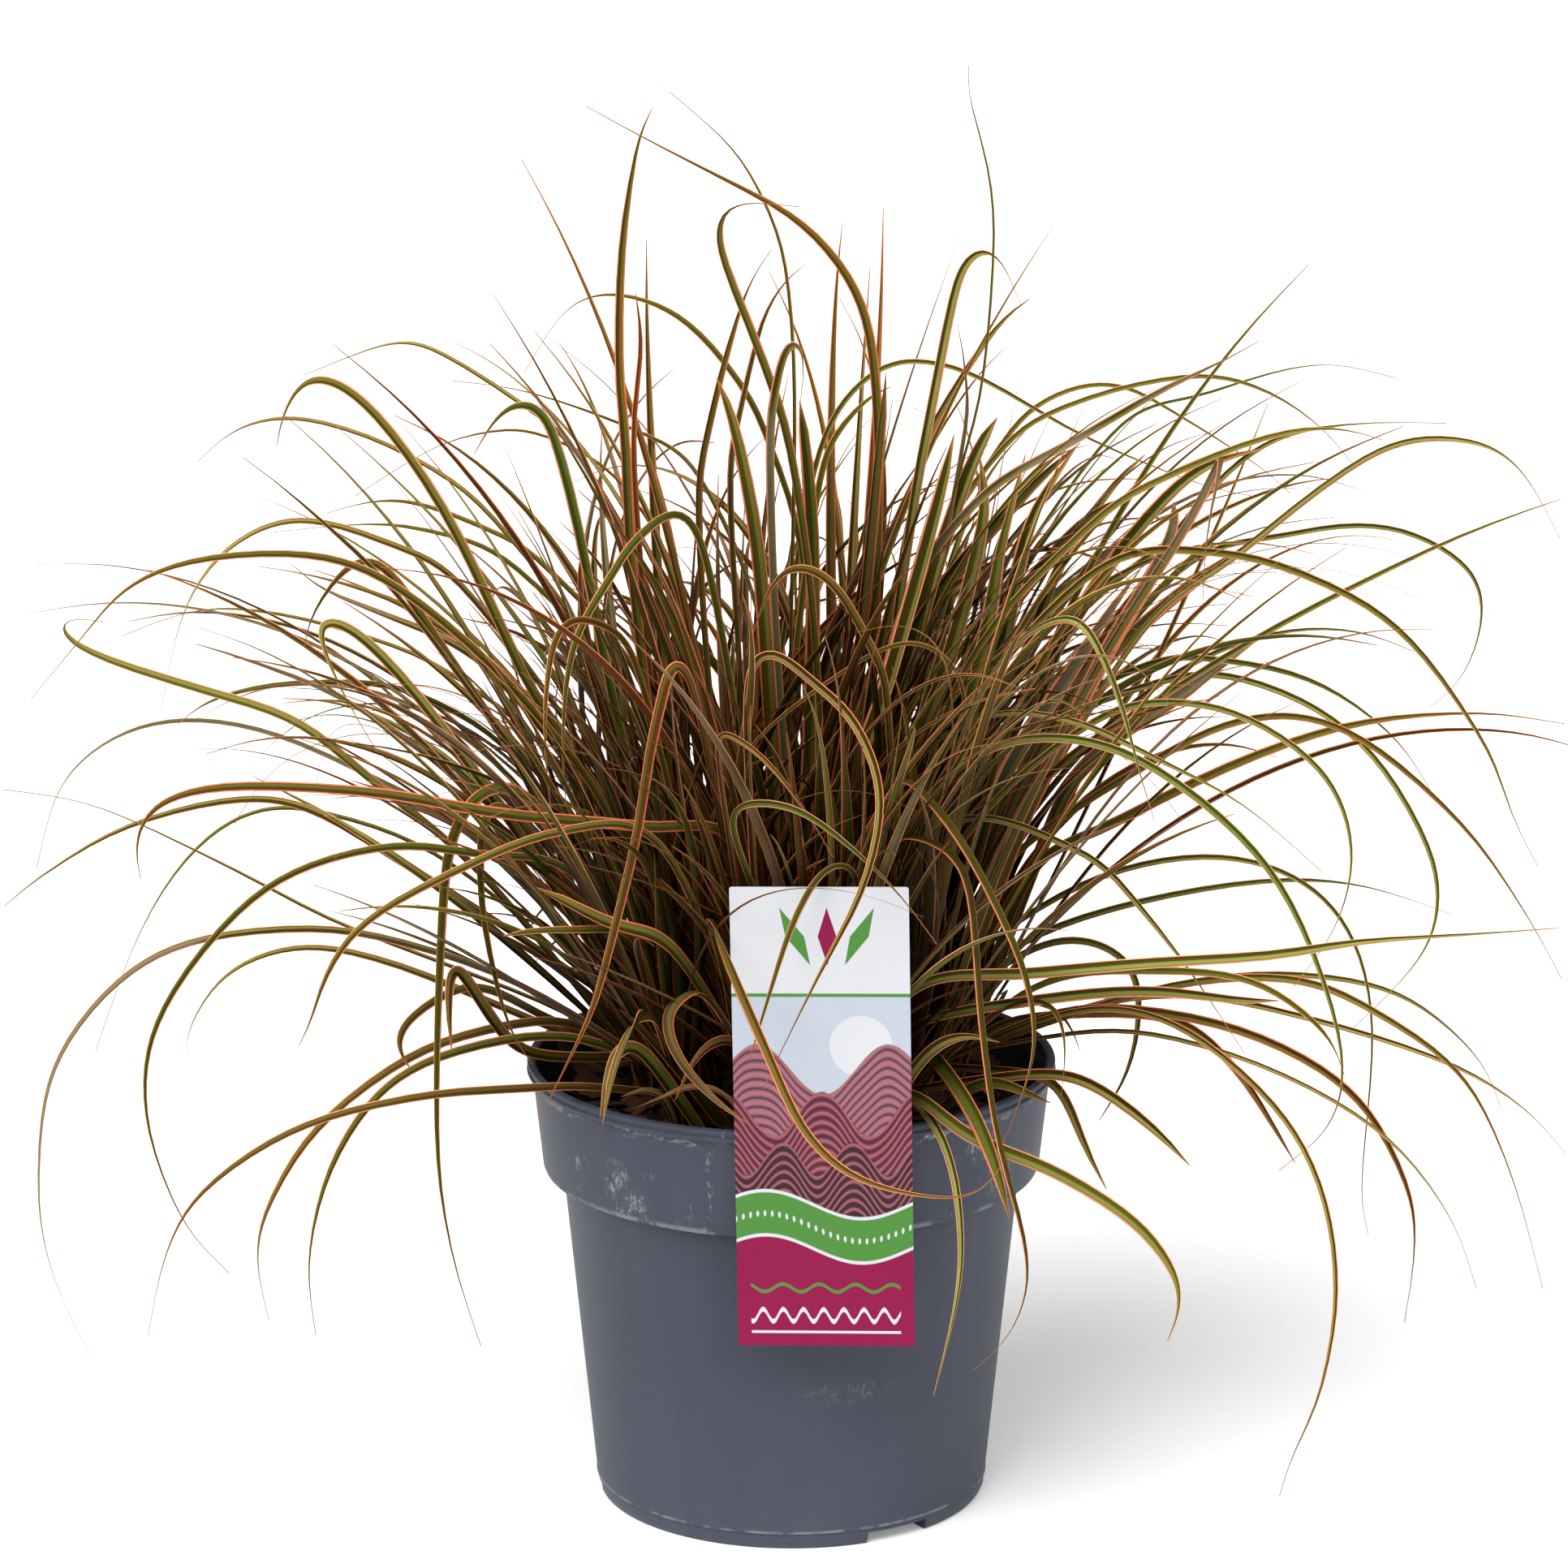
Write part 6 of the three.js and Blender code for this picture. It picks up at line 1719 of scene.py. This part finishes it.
@dataclass
class NurseryPot:
    """The moulded pot: a lip with a bead, a stepped collar, a tapered body and a notched foot."""

    sides: int = 180
    notch_turns: tuple[float, ...] = (-57, 63, 183)
    notch_width: float = 25
    notch_height: float = 4.4
    drains: int = 8
    drain_radius: float = 5
    drain_place: float = 48
    cut_depth: float = 30
    drill_length: float = 20

    def profile(self) -> list[tuple[float, float]]:
        """The section of the wall, from the middle of the underside to the middle of the floor."""
        p = POT
        top, ledge = p.height, p.height - p.lip_height
        return [
            (0, p.floor_under), (p.foot_inner - 1, p.floor_under), (p.foot_inner - 0.3, 0.6),
            (p.foot_inner, 0), (p.foot - 0.6, 0), (p.foot, 0.4), (p.body_foot, 2),
            (p.body_foot + 0.35, 5.6), (p.body_foot + 0.75, 6.1), (p.body_foot + 0.55, 6.8),
            (p.body_top - 0.1, p.collar_z - 1), (p.body_top + 0.4, p.collar_z - 0.1),
            (p.body_top + 1.4, p.collar_z), (p.collar_foot - 1.6, p.collar_z + 0.2),
            (p.collar_foot - 0.5, p.collar_z + 0.8), (p.collar_foot, p.collar_z + 2),
            (p.collar_top - 0.2, ledge - 0.6), (p.collar_top + 0.5, ledge), (p.lip - 0.3, ledge + 0.4),
            (p.lip, ledge + 0.9), (p.lip - 0.1, ledge + 1.5), (p.lip - 0.7, ledge + 1.9),
            (p.lip - 0.5, top - 1.9), (p.lip - 0.1, top - 1.2), (p.lip - 0.3, top - 0.4),
            (p.lip - 1, top), (p.collar_top - 0.6, top), (p.collar_top - p.wall, top - 0.8),
            (p.collar_top - p.wall, top - 4), (p.collar_foot - p.wall, p.collar_z + 2 * p.wall),
            (p.body_top - p.wall, p.collar_z + p.wall), (p.body_foot - p.wall, p.floor_top),
            (0, p.floor_top),
        ]

    def build(self) -> None:
        """Turns the pot, and cuts its notches and drain holes."""
        piece = lathe("pot_shell", self.profile(), self.sides)
        cutters = [self._notch(turn) for turn in self.notch_turns]
        cutters += [self._drain((i + 0.5) * 360 / self.drains) for i in range(self.drains)]
        for cutter in cutters:
            cut = piece.modifiers.new("cut", "BOOLEAN")
            cut.operation = "DIFFERENCE"
            cut.solver = "EXACT"
            cut.object = cutter
        settle(piece)
        for cutter in cutters:
            bpy.data.objects.remove(cutter)
        tidy_mesh(piece, 30)
        piece.data.materials.clear()
        piece.data.materials.append(MouldedPlastic().material())
        seat(piece, ["pot"])

    def _notch(self, turn: float) -> bpy.types.Object:
        """A block that cuts one notch in the foot.

        Args:
            turn: How far round the pot the notch is, in degrees.

        Returns:
            The block.
        """
        shape = bmesh.new()
        bmesh.ops.create_cube(shape, size=1)
        size = (self.cut_depth * MM, self.notch_width * MM, 2 * self.notch_height * MM)
        bmesh.ops.scale(shape, vec=size, verts=shape.verts)
        bmesh.ops.translate(shape, vec=(POT.foot * MM, 0, 0), verts=shape.verts)
        return turned_cutter(shape, turn)

    def _drain(self, turn: float) -> bpy.types.Object:
        """A cylinder that cuts one drain hole in the floor.

        Args:
            turn: How far round the pot the hole is, in degrees.

        Returns:
            The cylinder.
        """
        shape = bmesh.new()
        radius = self.drain_radius * MM
        bmesh.ops.create_cone(shape, cap_ends=True, segments=32, radius1=radius, radius2=radius,
                              depth=self.drill_length * MM)
        bmesh.ops.translate(shape, vec=(self.drain_place * MM, 0, POT.floor_under * MM), verts=shape.verts)
        return turned_cutter(shape, turn)


def turned_cutter(shape: bmesh.types.BMesh, turn: float) -> bpy.types.Object:
    """An object from a shape, turned about the pot's axis.

    Args:
        shape: The shape, which is freed.
        turn: The turn in degrees.

    Returns:
        The object.
    """
    mesh = bpy.data.meshes.new("cutter")
    shape.to_mesh(mesh)
    shape.free()
    piece = new_piece("cutter", mesh)
    angle = math.radians(turn)
    for vertex in mesh.vertices:
        x, y, z = vertex.co
        vertex.co = (x * math.cos(angle) - y * math.sin(angle), x * math.sin(angle) + y * math.cos(angle), z)
    return piece


def lathe(name: str, profile: Sequence[tuple[float, float]], sides: int) -> bpy.types.Object:
    """A closed turned piece from a profile of radius and height in millimetres.

    Args:
        name: The piece's name.
        profile: The points, which start and end on the axis.
        sides: The number of sides.

    Returns:
        The piece.
    """
    points = [[0.0, 0.0, profile[0][1]]]
    for radius, height in profile[1:-1]:
        points.extend(ring_of(sides, radius, height).tolist())
    points.append([0.0, 0.0, profile[-1][1]])
    rings = len(profile) - 2
    last = len(points) - 1
    faces: Faces = []
    for j in range(sides):
        k = (j + 1) % sides
        faces.append([0, 1 + k, 1 + j])
        for i in range(rings - 1):
            low, high = 1 + i * sides, 1 + (i + 1) * sides
            faces.append([low + j, low + k, high + k, high + j])
        top = 1 + (rings - 1) * sides
        faces.append([top + j, top + k, last])
    return from_faces(name, np.array(points), faces)


def chip_recipe() -> Recipe:
    """The tree that strews rough chips over the upward faces of a mesh."""
    recipe = Recipe("chip_scatter", {
        "Spacing": "Float", "Density": "Float", "Seed": "Int", "Smallest": "Vector",
        "Largest": "Vector", "Roughness": "Float", "Material": "Material",
    })
    given = recipe.given
    inputs = {"Mesh": given["Geometry"], "Distance Min": given["Spacing"],
              "Density Max": given["Density"], "Seed": given["Seed"]}
    scatter = recipe.node("GeometryNodeDistributePointsOnFaces", {"distribute_method": "POISSON"}, inputs)
    own = recipe.node("FunctionNodeRandomValue", {"data_type": "FLOAT"}, {"Seed": 11})["Value_001"]
    points = recipe.store(scatter["Points"], "tone", own)
    block = recipe.node("GeometryNodeMeshIcoSphere", None, {"Radius": 0.5, "Subdivisions": 2})["Mesh"]
    size = recipe.node("FunctionNodeRandomValue", {"data_type": "FLOAT_VECTOR"},
                       {"Min": given["Smallest"], "Max": given["Largest"], "Seed": 5})["Value"]
    turn = recipe.node("FunctionNodeRandomValue", {"data_type": "FLOAT_VECTOR"},
                       {"Min": (-0.5, -0.5, -3.2), "Max": (0.5, 0.5, 3.2), "Seed": 7})["Value"]
    spin = recipe.node("FunctionNodeEulerToRotation", None, {"Euler": turn})["Rotation"]
    inputs = {"Points": points, "Instance": block, "Rotation": spin, "Scale": size}
    chips = recipe.node("GeometryNodeInstanceOnPoints", None, inputs)["Instances"]
    real = recipe.node("GeometryNodeRealizeInstances", None, {"Geometry": chips})["Geometry"]
    inputs = {"Scale": 160.0, "Detail": 2.0}
    noise = recipe.node("ShaderNodeTexNoise", None, inputs)["Color"]
    shake = recipe.node("ShaderNodeVectorMath", {"operation": "SUBTRACT"},
                        {0: noise, 1: (0.5, 0.5, 0.5)})["Vector"]
    shake = recipe.node("ShaderNodeVectorMath", {"operation": "SCALE"},
                        {0: shake, "Scale": given["Roughness"]})["Vector"]
    rough = recipe.node("GeometryNodeSetPosition", None, {"Geometry": real, "Offset": shake})["Geometry"]
    recipe.end(rough)
    return recipe


@dataclass
class BarkFlake:
    """A curved flake of bark: its middle, its size in millimetres, its turn and slope in degrees."""

    middle: tuple[float, float, float]
    length: float
    width: float
    turn: float
    slope: float
    tone: float
    thickness: float = 1.5
    rings: int = 6
    sides: int = 26

    def mesh(self, draw: Draw) -> tuple[Array, Faces]:
        """The closed flake, with a ragged outline and a ribbed back.

        Args:
            draw: The draw that shapes its outline.

        Returns:
            Its points in millimetres and its faces.
        """
        waves = [(rate, draw.between(0.03, 0.16), draw.between(0, 6.3)) for rate in (2, 3, 5, 9)]
        bend, lift = draw.between(0.2, 1.0) * self.width / 12, draw.between(-0.5, 1.0)
        angles = np.arange(self.sides) * 2 * math.pi / self.sides
        ragged = 1 + sum(size * np.sin(rate * angles + start) for rate, size, start in waves)
        layers = []
        for side in (1, -1):
            layers.append(np.array([[0.0, 0.0, side * self.thickness / 2]]))
            for i in range(1, self.rings + 1):
                share = i / self.rings
                x = self.length / 2 * share * ragged * np.cos(angles)
                y = self.width / 2 * share * ragged * np.sin(angles)
                thin = side * self.thickness / 2 * math.sqrt(max(0.04, 1 - share ** 6))
                ribs = 0.22 * np.sin(y * 3.1 + 0.6 * np.sin(x * 0.8)) + 0.2 * np.sin(x * 1.3 + y)
                layers.append(np.stack([x, y, thin + ribs], 1))
        points = np.vstack(layers)
        x, y = points[:, 0] / (self.length / 2), points[:, 1] / (self.width / 2)
        points[:, 2] += bend * 2 * y * y + lift * x * x
        return self._placed(points), self._faces()

    def _placed(self, points: Array) -> Array:
        """Tips the flake by its slope, turns it and moves it to its place.

        Args:
            points: Its points about the origin.

        Returns:
            Its points where it lies.
        """
        slope, turn = math.radians(self.slope), math.radians(self.turn)
        x, y, z = points.T
        y, z = y * math.cos(slope) - z * math.sin(slope), y * math.sin(slope) + z * math.cos(slope)
        x, y = x * math.cos(turn) - y * math.sin(turn), x * math.sin(turn) + y * math.cos(turn)
        return np.stack([x, y, z], 1) + np.array(self.middle)

    def _faces(self) -> Faces:
        """The faces of the front, the back and the edge between them."""
        n = self.sides
        back = 1 + self.rings * n
        faces: Faces = []
        for j in range(n):
            k = (j + 1) % n
            faces.append([0, 1 + j, 1 + k])
            faces.append([back, back + 1 + k, back + 1 + j])
            for i in range(self.rings - 1):
                low, high = 1 + i * n, 1 + (i + 1) * n
                faces.append([low + j, high + j, high + k, low + k])
                faces.append([back + low + k, back + high + k, back + high + j, back + low + j])
            rim = 1 + (self.rings - 1) * n
            faces.append([rim + j, back + rim + j, back + rim + k, rim + k])
        return faces


@dataclass
class Compost:
    """The compost: a lumpy fill, bark chips, crumbs and a few withered leaves."""

    rings: int = 40
    sides: int = 144
    gap: float = 0.3
    loose_flakes: int = 44

    def build(self) -> None:
        """Makes the fill and what lies on it."""
        fill = self._fill()
        recipe = chip_recipe()
        bark = BarkFinish().material()
        layers = (
            ("bark_chips", 0.0075, 6000.0, 3, (0.005, 0.003, 0.0012), (0.013, 0.007, 0.003), 0.004),
            ("bark_crumbs", 0.0026, 60000.0, 9, (0.0014, 0.001, 0.0008), (0.0045, 0.003, 0.002), 0.0016),
        )
        for name, spacing, density, seed, smallest, largest, roughness in layers:
            piece = new_piece(name, self._top_mesh(name))
            recipe.apply(piece, {
                "Spacing": spacing, "Density": density, "Seed": seed, "Smallest": smallest,
                "Largest": largest, "Roughness": roughness, "Material": bark,
            })
            tidy_mesh(piece, 50)
            seat(piece)
        seat(fill, ["compost"])
        self._bark_pieces(bark)
        self._litter()

    def _bark_pieces(self, bark: bpy.types.Material) -> None:
        """Larger flakes of bark near the wall, one of them leaning on it at the left.

        Args:
            bark: Their finish.
        """
        draw = Draw(4711)
        flakes = [
            BarkFlake((-79, 18, 155), 26, 21, 95, 42, 0.8),
            BarkFlake((-70, -2, 150), 22, 15, 40, 12, 0.6),
            BarkFlake((-58, -44, 150), 19, 13, 150, 9, 0.75),
            BarkFlake((-68, -24, 150), 16, 11, 20, -8, 0.4),
        ]
        for i in range(self.loose_flakes):
            turn = i * GOLDEN_ANGLE + draw.between(-0.2, 0.2)
            reach = draw.between(50, 82)
            x, y = reach * math.cos(turn), reach * math.sin(turn)
            z = float(compost_height(x, y)) + draw.between(0.6, 2.2)
            length = draw.between(9, 20)
            flakes.append(BarkFlake((x, y, z), length, length * draw.between(0.45, 0.75),
                                    draw.between(0, 360), draw.between(-16, 16), draw.next()))
        points: list[Array] = []
        faces: Faces = []
        tones: list[float] = []
        for order, flake in enumerate(flakes):
            start = sum(len(part) for part in points)
            made, sides = flake.mesh(Draw(600 + order * 13))
            points.append(made)
            faces.extend([[start + corner for corner in side] for side in sides])
            tones.extend([flake.tone] * len(made))
        piece = from_faces("bark_flakes", np.vstack(points), faces)
        column = piece.data.attributes.new("tone", "FLOAT", "POINT")
        column.data.foreach_set("value", tones)
        tidy_mesh(piece, 50)
        piece.data.materials.append(bark)
        seat(piece)

    def _brim(self) -> float:
        """The radius of the compost's top edge."""
        low_z, high_z = POT.collar_z + 2 * POT.wall, POT.height - 4
        share = (COMPOST_LEVEL - low_z) / (high_z - low_z)
        inner = POT.collar_foot + (POT.collar_top - POT.collar_foot) * share - POT.wall
        return inner - self.gap

    def _top(self, radius: float) -> tuple[Array, Faces]:
        """The lumpy top within a radius.

        Args:
            radius: The radius in millimetres.

        Returns:
            Its points in millimetres and its faces.
        """
        radii = np.linspace(0, radius, self.rings)
        points = [[0.0, 0.0, float(compost_height(0.0, 0.0))]]
        for r in radii[1:]:
            x, y, _ = ring_of(self.sides, r, 0).T
            fine = np.sin(x * 1.3 + y * 0.7) * np.sin(y * 1.7 - x * 0.4) * 0.7
            z = compost_height(x, y) + fine
            points.extend(np.stack([x, y, z], 1).tolist())
        faces = [[0, 1 + j, 1 + (j + 1) % self.sides] for j in range(self.sides)]
        for i in range(self.rings - 2):
            low, high = 1 + i * self.sides, 1 + (i + 1) * self.sides
            for j in range(self.sides):
                k = (j + 1) % self.sides
                faces.append([low + j, high + j, high + k, low + k])
        return np.array(points), faces

    def _top_mesh(self, name: str) -> bpy.types.Mesh:
        """The part of the top on which chips lie.

        Args:
            name: The mesh's name.

        Returns:
            The mesh.
        """
        points, faces = self._top(self._brim() - 6)
        mesh = bpy.data.meshes.new(name)
        mesh.from_pydata((points * MM).tolist(), [], faces)
        return mesh

    def _fill(self) -> bpy.types.Object:
        """The fill, down to the floor of the pot."""
        points, faces = self._top(self._brim())
        wall = [(POT.collar_foot - POT.wall, POT.collar_z + 2 * POT.wall),
                (POT.body_top - POT.wall, POT.collar_z + POT.wall),
                (POT.body_foot - POT.wall, POT.floor_top)]
        rows = [points]
        first = len(points) - self.sides
        for radius, z in wall:
            rows.append(ring_of(self.sides, radius - self.gap, z + self.gap))
            second = first + self.sides
            for j in range(self.sides):
                k = (j + 1) % self.sides
                faces.append([first + j, second + j, second + k, first + k])
            first = second
        rows.append(np.array([[0.0, 0.0, POT.floor_top + self.gap]]))
        middle = first + self.sides
        faces.extend([[first + j, middle, first + (j + 1) % self.sides] for j in range(self.sides)])
        piece = from_faces("compost_fill", np.vstack(rows), faces)
        tidy_mesh(piece, 60)
        piece.data.materials.append(CompostFinish().material())
        return piece

    def _litter(self) -> None:
        """Withered leaves that lie curled on the compost."""
        courses = (
            (5.6, [(-14, -74, 149), (-17, -76, 163), (-24, -75, 172), (-36, -72, 172), (-46, -69, 166),
                   (-55, -66, 162)]),
            (5.0, [(-70, -30, 150), (-66, -42, 153), (-58, -52, 151), (-47, -57, 152)]),
            (4.5, [(40, -70, 150), (52, -62, 154), (60, -50, 152), (66, -38, 153)]),
            (5.5, [(70, -10, 150), (72, 6, 154), (66, 22, 151), (58, 34, 153)]),
            (5.0, [(-30, 66, 150), (-14, 72, 154), (4, 74, 152), (18, 68, 153)]),
            (4.5, [(12, -76, 151), (22, -74, 155), (32, -70, 152), (37, -62, 150)]),
        )
        tuft = Tuft(0, 0.0, 0.0, 0.0, 0.0)
        up = np.array([0.1, -0.4, 1.0])
        leaves = [Leaf(np.array(points, float), width, up, True, 0.2, 1.6, 4, tuft)
                  for width, points in courses]
        piece = LeafSweep().piece("dry_litter", leaves, DryLeafFinish().material(), False)
        seat(piece)


@dataclass
class PlantTag:
    """The plant tag: a card with round corners and a strip that hooks over the lip.

    The strip leaves the card between two heights over the lip, its root, and goes down inside.
    Weights along x, y and z put the card's points and faces in a fixed order.
    """

    columns: int = 12
    rows: int = 28
    bow: float = 1.2
    hook_root: tuple[float, float] = (6, 12)
    hook_inside: float = 8.6
    order: tuple[float, float, float] = (10.0, 1.0, 1000.0)

    def build(self) -> None:
        """Makes the card and its hook."""
        card = self._card()
        card.data.materials.append(PrintedCard(TAG.width, TAG.height).material())
        seat(card, ["plant_tag"])
        hook = self._hook()
        hook.data.materials.append(self._plain_back())
        seat(hook)

    @staticmethod
    def _plain_back() -> bpy.types.Material:
        """The unprinted white of the hook."""
        paint = Paint("tag_white")
        tone = paint.mix(paint.noise(80, 2) * 0.2, linear(234, 236, 240), linear(214, 216, 220))
        return paint.finish(Base_Color=tone, Roughness=0.35)

    def _outline(self) -> list[tuple[float, float]]:
        """The card's outline, from its lower left, in millimetres from its corner."""
        w, h, c = TAG.width, TAG.height, TAG.corner
        points: list[tuple[float, float]] = []
        for cx, cy, start in ((w - c, c, -90), (w - c, h - c, 0), (c, h - c, 90), (c, c, 180)):
            for step in range(7):
                angle = math.radians(start + step * 15)
                points.append((cx + c * math.cos(angle), cy + c * math.sin(angle)))
        return points

    def _card(self) -> bpy.types.Object:
        """The card, slightly bowed, with its map in shares of its width and height."""
        shape = bmesh.new()
        shape.faces.new([shape.verts.new((x * MM, 0, z * MM)) for x, z in self._outline()])
        cuts = [((TAG.width * i / self.columns * MM, 0, 0), (1, 0, 0)) for i in range(1, self.columns)]
        cuts += [((0, 0, TAG.height * i / self.rows * MM), (0, 0, 1)) for i in range(1, self.rows)]
        for place, normal in cuts:
            everything = shape.verts[:] + shape.edges[:] + shape.faces[:]
            bmesh.ops.bisect_plane(shape, geom=everything, plane_co=place, plane_no=normal)
        chart = shape.loops.layers.uv.new("card")
        for face in shape.faces:
            for loop in face.loops:
                x, _, z = loop.vert.co
                loop[chart].uv = (x / (TAG.width * MM), z / (TAG.height * MM))
        made = bmesh.ops.extrude_face_region(shape, geom=shape.faces[:])
        back = [item for item in made["geom"] if isinstance(item, bmesh.types.BMVert)]
        bmesh.ops.translate(shape, vec=(0, TAG.thickness * MM, 0), verts=back)
        bmesh.ops.recalc_face_normals(shape, faces=shape.faces)
        tilt = math.radians(TAG.tilt)
        for vertex in shape.verts:
            x, y, z = vertex.co.x / MM, vertex.co.y / MM, vertex.co.z / MM
            share = 2 * z / TAG.height - 1
            depth = y - TAG.thickness - POT.lip - TAG.gap - self.bow * share * share * max(0.0, share)
            x -= TAG.width / 2
            turned = (x * math.cos(tilt) + z * math.sin(tilt), -x * math.sin(tilt) + z * math.cos(tilt))
            spot = np.array([[turned[0] + TAG.centre, depth, turned[1] + TAG.bottom]])
            vertex.co = (TAG.turned(spot)[0] * MM).tolist()
        shape.verts.sort(key=lambda vertex: vertex.co.dot(self.order))
        shape.faces.sort(key=lambda face: face.calc_center_median().dot(self.order))
        mesh = bpy.data.meshes.new("tag_card")
        shape.to_mesh(mesh)
        shape.free()
        return new_piece("tag_card", mesh)

    def _hook(self) -> bpy.types.Object:
        """The strip that goes over the lip and down inside the pot."""
        face = -POT.lip - TAG.gap - TAG.thickness / 2
        inside = -POT.lip + self.hook_inside
        over = POT.height + TAG.gap
        low, high = self.hook_root
        section = [(face, over + high), (face, over + low), (inside - TAG.thickness, over),
                   (inside - TAG.thickness, over - TAG.hook_reach), (inside, over - TAG.hook_reach),
                   (inside, over + 1)]
        left = TAG.hook_centre - TAG.hook_width / 2
        points = [(left + side * TAG.hook_width, y, z) for side in (0, 1) for y, z in section]
        n = len(section)
        faces = [list(range(n)), list(range(2 * n - 1, n - 1, -1))]
        faces += [[i, n + i, n + (i + 1) % n, (i + 1) % n] for i in range(n)]
        piece = from_faces("tag_hook", TAG.turned(np.array(points)), faces)
        tidy_mesh(piece, 30)
        return piece


@dataclass(frozen=True)
class Lamp:
    """A broad soft light: its name, where it shines from, its spread in degrees, its strength."""

    name: str
    spot: tuple[float, float, float]
    spread: float
    strength: float


@dataclass
class Studio:
    """The plain floor, the soft light and the camera at the photograph's angle.

    A broad light comes from the upper left, a weaker one from the right and a faint one from the
    white room all round.
    """

    floor_size: float = 60.0
    room: float = 0.21
    lamps: tuple[Lamp, ...] = (
        Lamp("key", (-0.9, -1.3, 2.0), 46, 3.7),
        Lamp("fill", (1.1, -1.4, 1.4), 60, 1.25),
    )
    sensor: float = 36

    def build(self) -> None:
        """Makes the floor, the lights and the camera."""
        bpy.context.scene.view_settings.view_transform = "Standard"
        self._floor()
        self._lights()
        self._camera()

    def _floor(self) -> None:
        """A plain floor under the pot."""
        half = self.floor_size / 2
        mesh = bpy.data.meshes.new("floor")
        square = [(-half, -half, 0), (half, -half, 0), (half, half, 0), (-half, half, 0)]
        mesh.from_pydata(square, [], [(0, 1, 2, 3)])
        mesh.materials.append(StudioFloor().material())
        new_piece("floor", mesh)

    def _lights(self) -> None:
        """The white room and the lamps, each turned towards the object."""
        world = bpy.data.worlds.new("white_room")
        world.use_nodes = True
        background = world.node_tree.nodes["Background"]
        background.inputs["Color"].default_value = (1, 1, 1, 1)
        background.inputs["Strength"].default_value = self.room
        bpy.context.scene.world = world
        for lamp in self.lamps:
            light = bpy.data.lights.new(lamp.name, "SUN")
            light.angle = math.radians(lamp.spread)
            light.energy = lamp.strength
            holder = bpy.data.objects.new(lamp.name, light)
            bpy.context.scene.collection.objects.link(holder)
            x, y, z = lamp.spot
            holder.location = lamp.spot
            holder.rotation_euler = (math.atan2(math.hypot(x, y), z), 0, math.atan2(x, -y))

    def _camera(self) -> None:
        """The camera of the photograph."""
        lens = bpy.data.cameras.new("camera")
        lens.sensor_width = self.sensor
        lens.lens = EYE.focal_pixels / PHOTO_WIDTH * lens.sensor_width
        lens.shift_x = -(EYE.centre_x - PHOTO_WIDTH / 2) / PHOTO_WIDTH
        holder = bpy.data.objects.new("camera", lens)
        holder.location = (0, -EYE.distance * MM, EYE.height * MM)
        holder.rotation_euler = (math.pi / 2 - EYE.pitch, 0, 0)
        bpy.context.scene.collection.objects.link(holder)
        bpy.context.scene.camera = holder


def main() -> None:
    """Builds the pieces in order."""
    logging.basicConfig(level=logging.INFO, format="%(name)s: %(message)s")
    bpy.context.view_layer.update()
    Studio().build()
    NurseryPot().build()
    Compost().build()
    Plant().build()
    PlantTag().build()


if __name__ == "__main__":
    main()
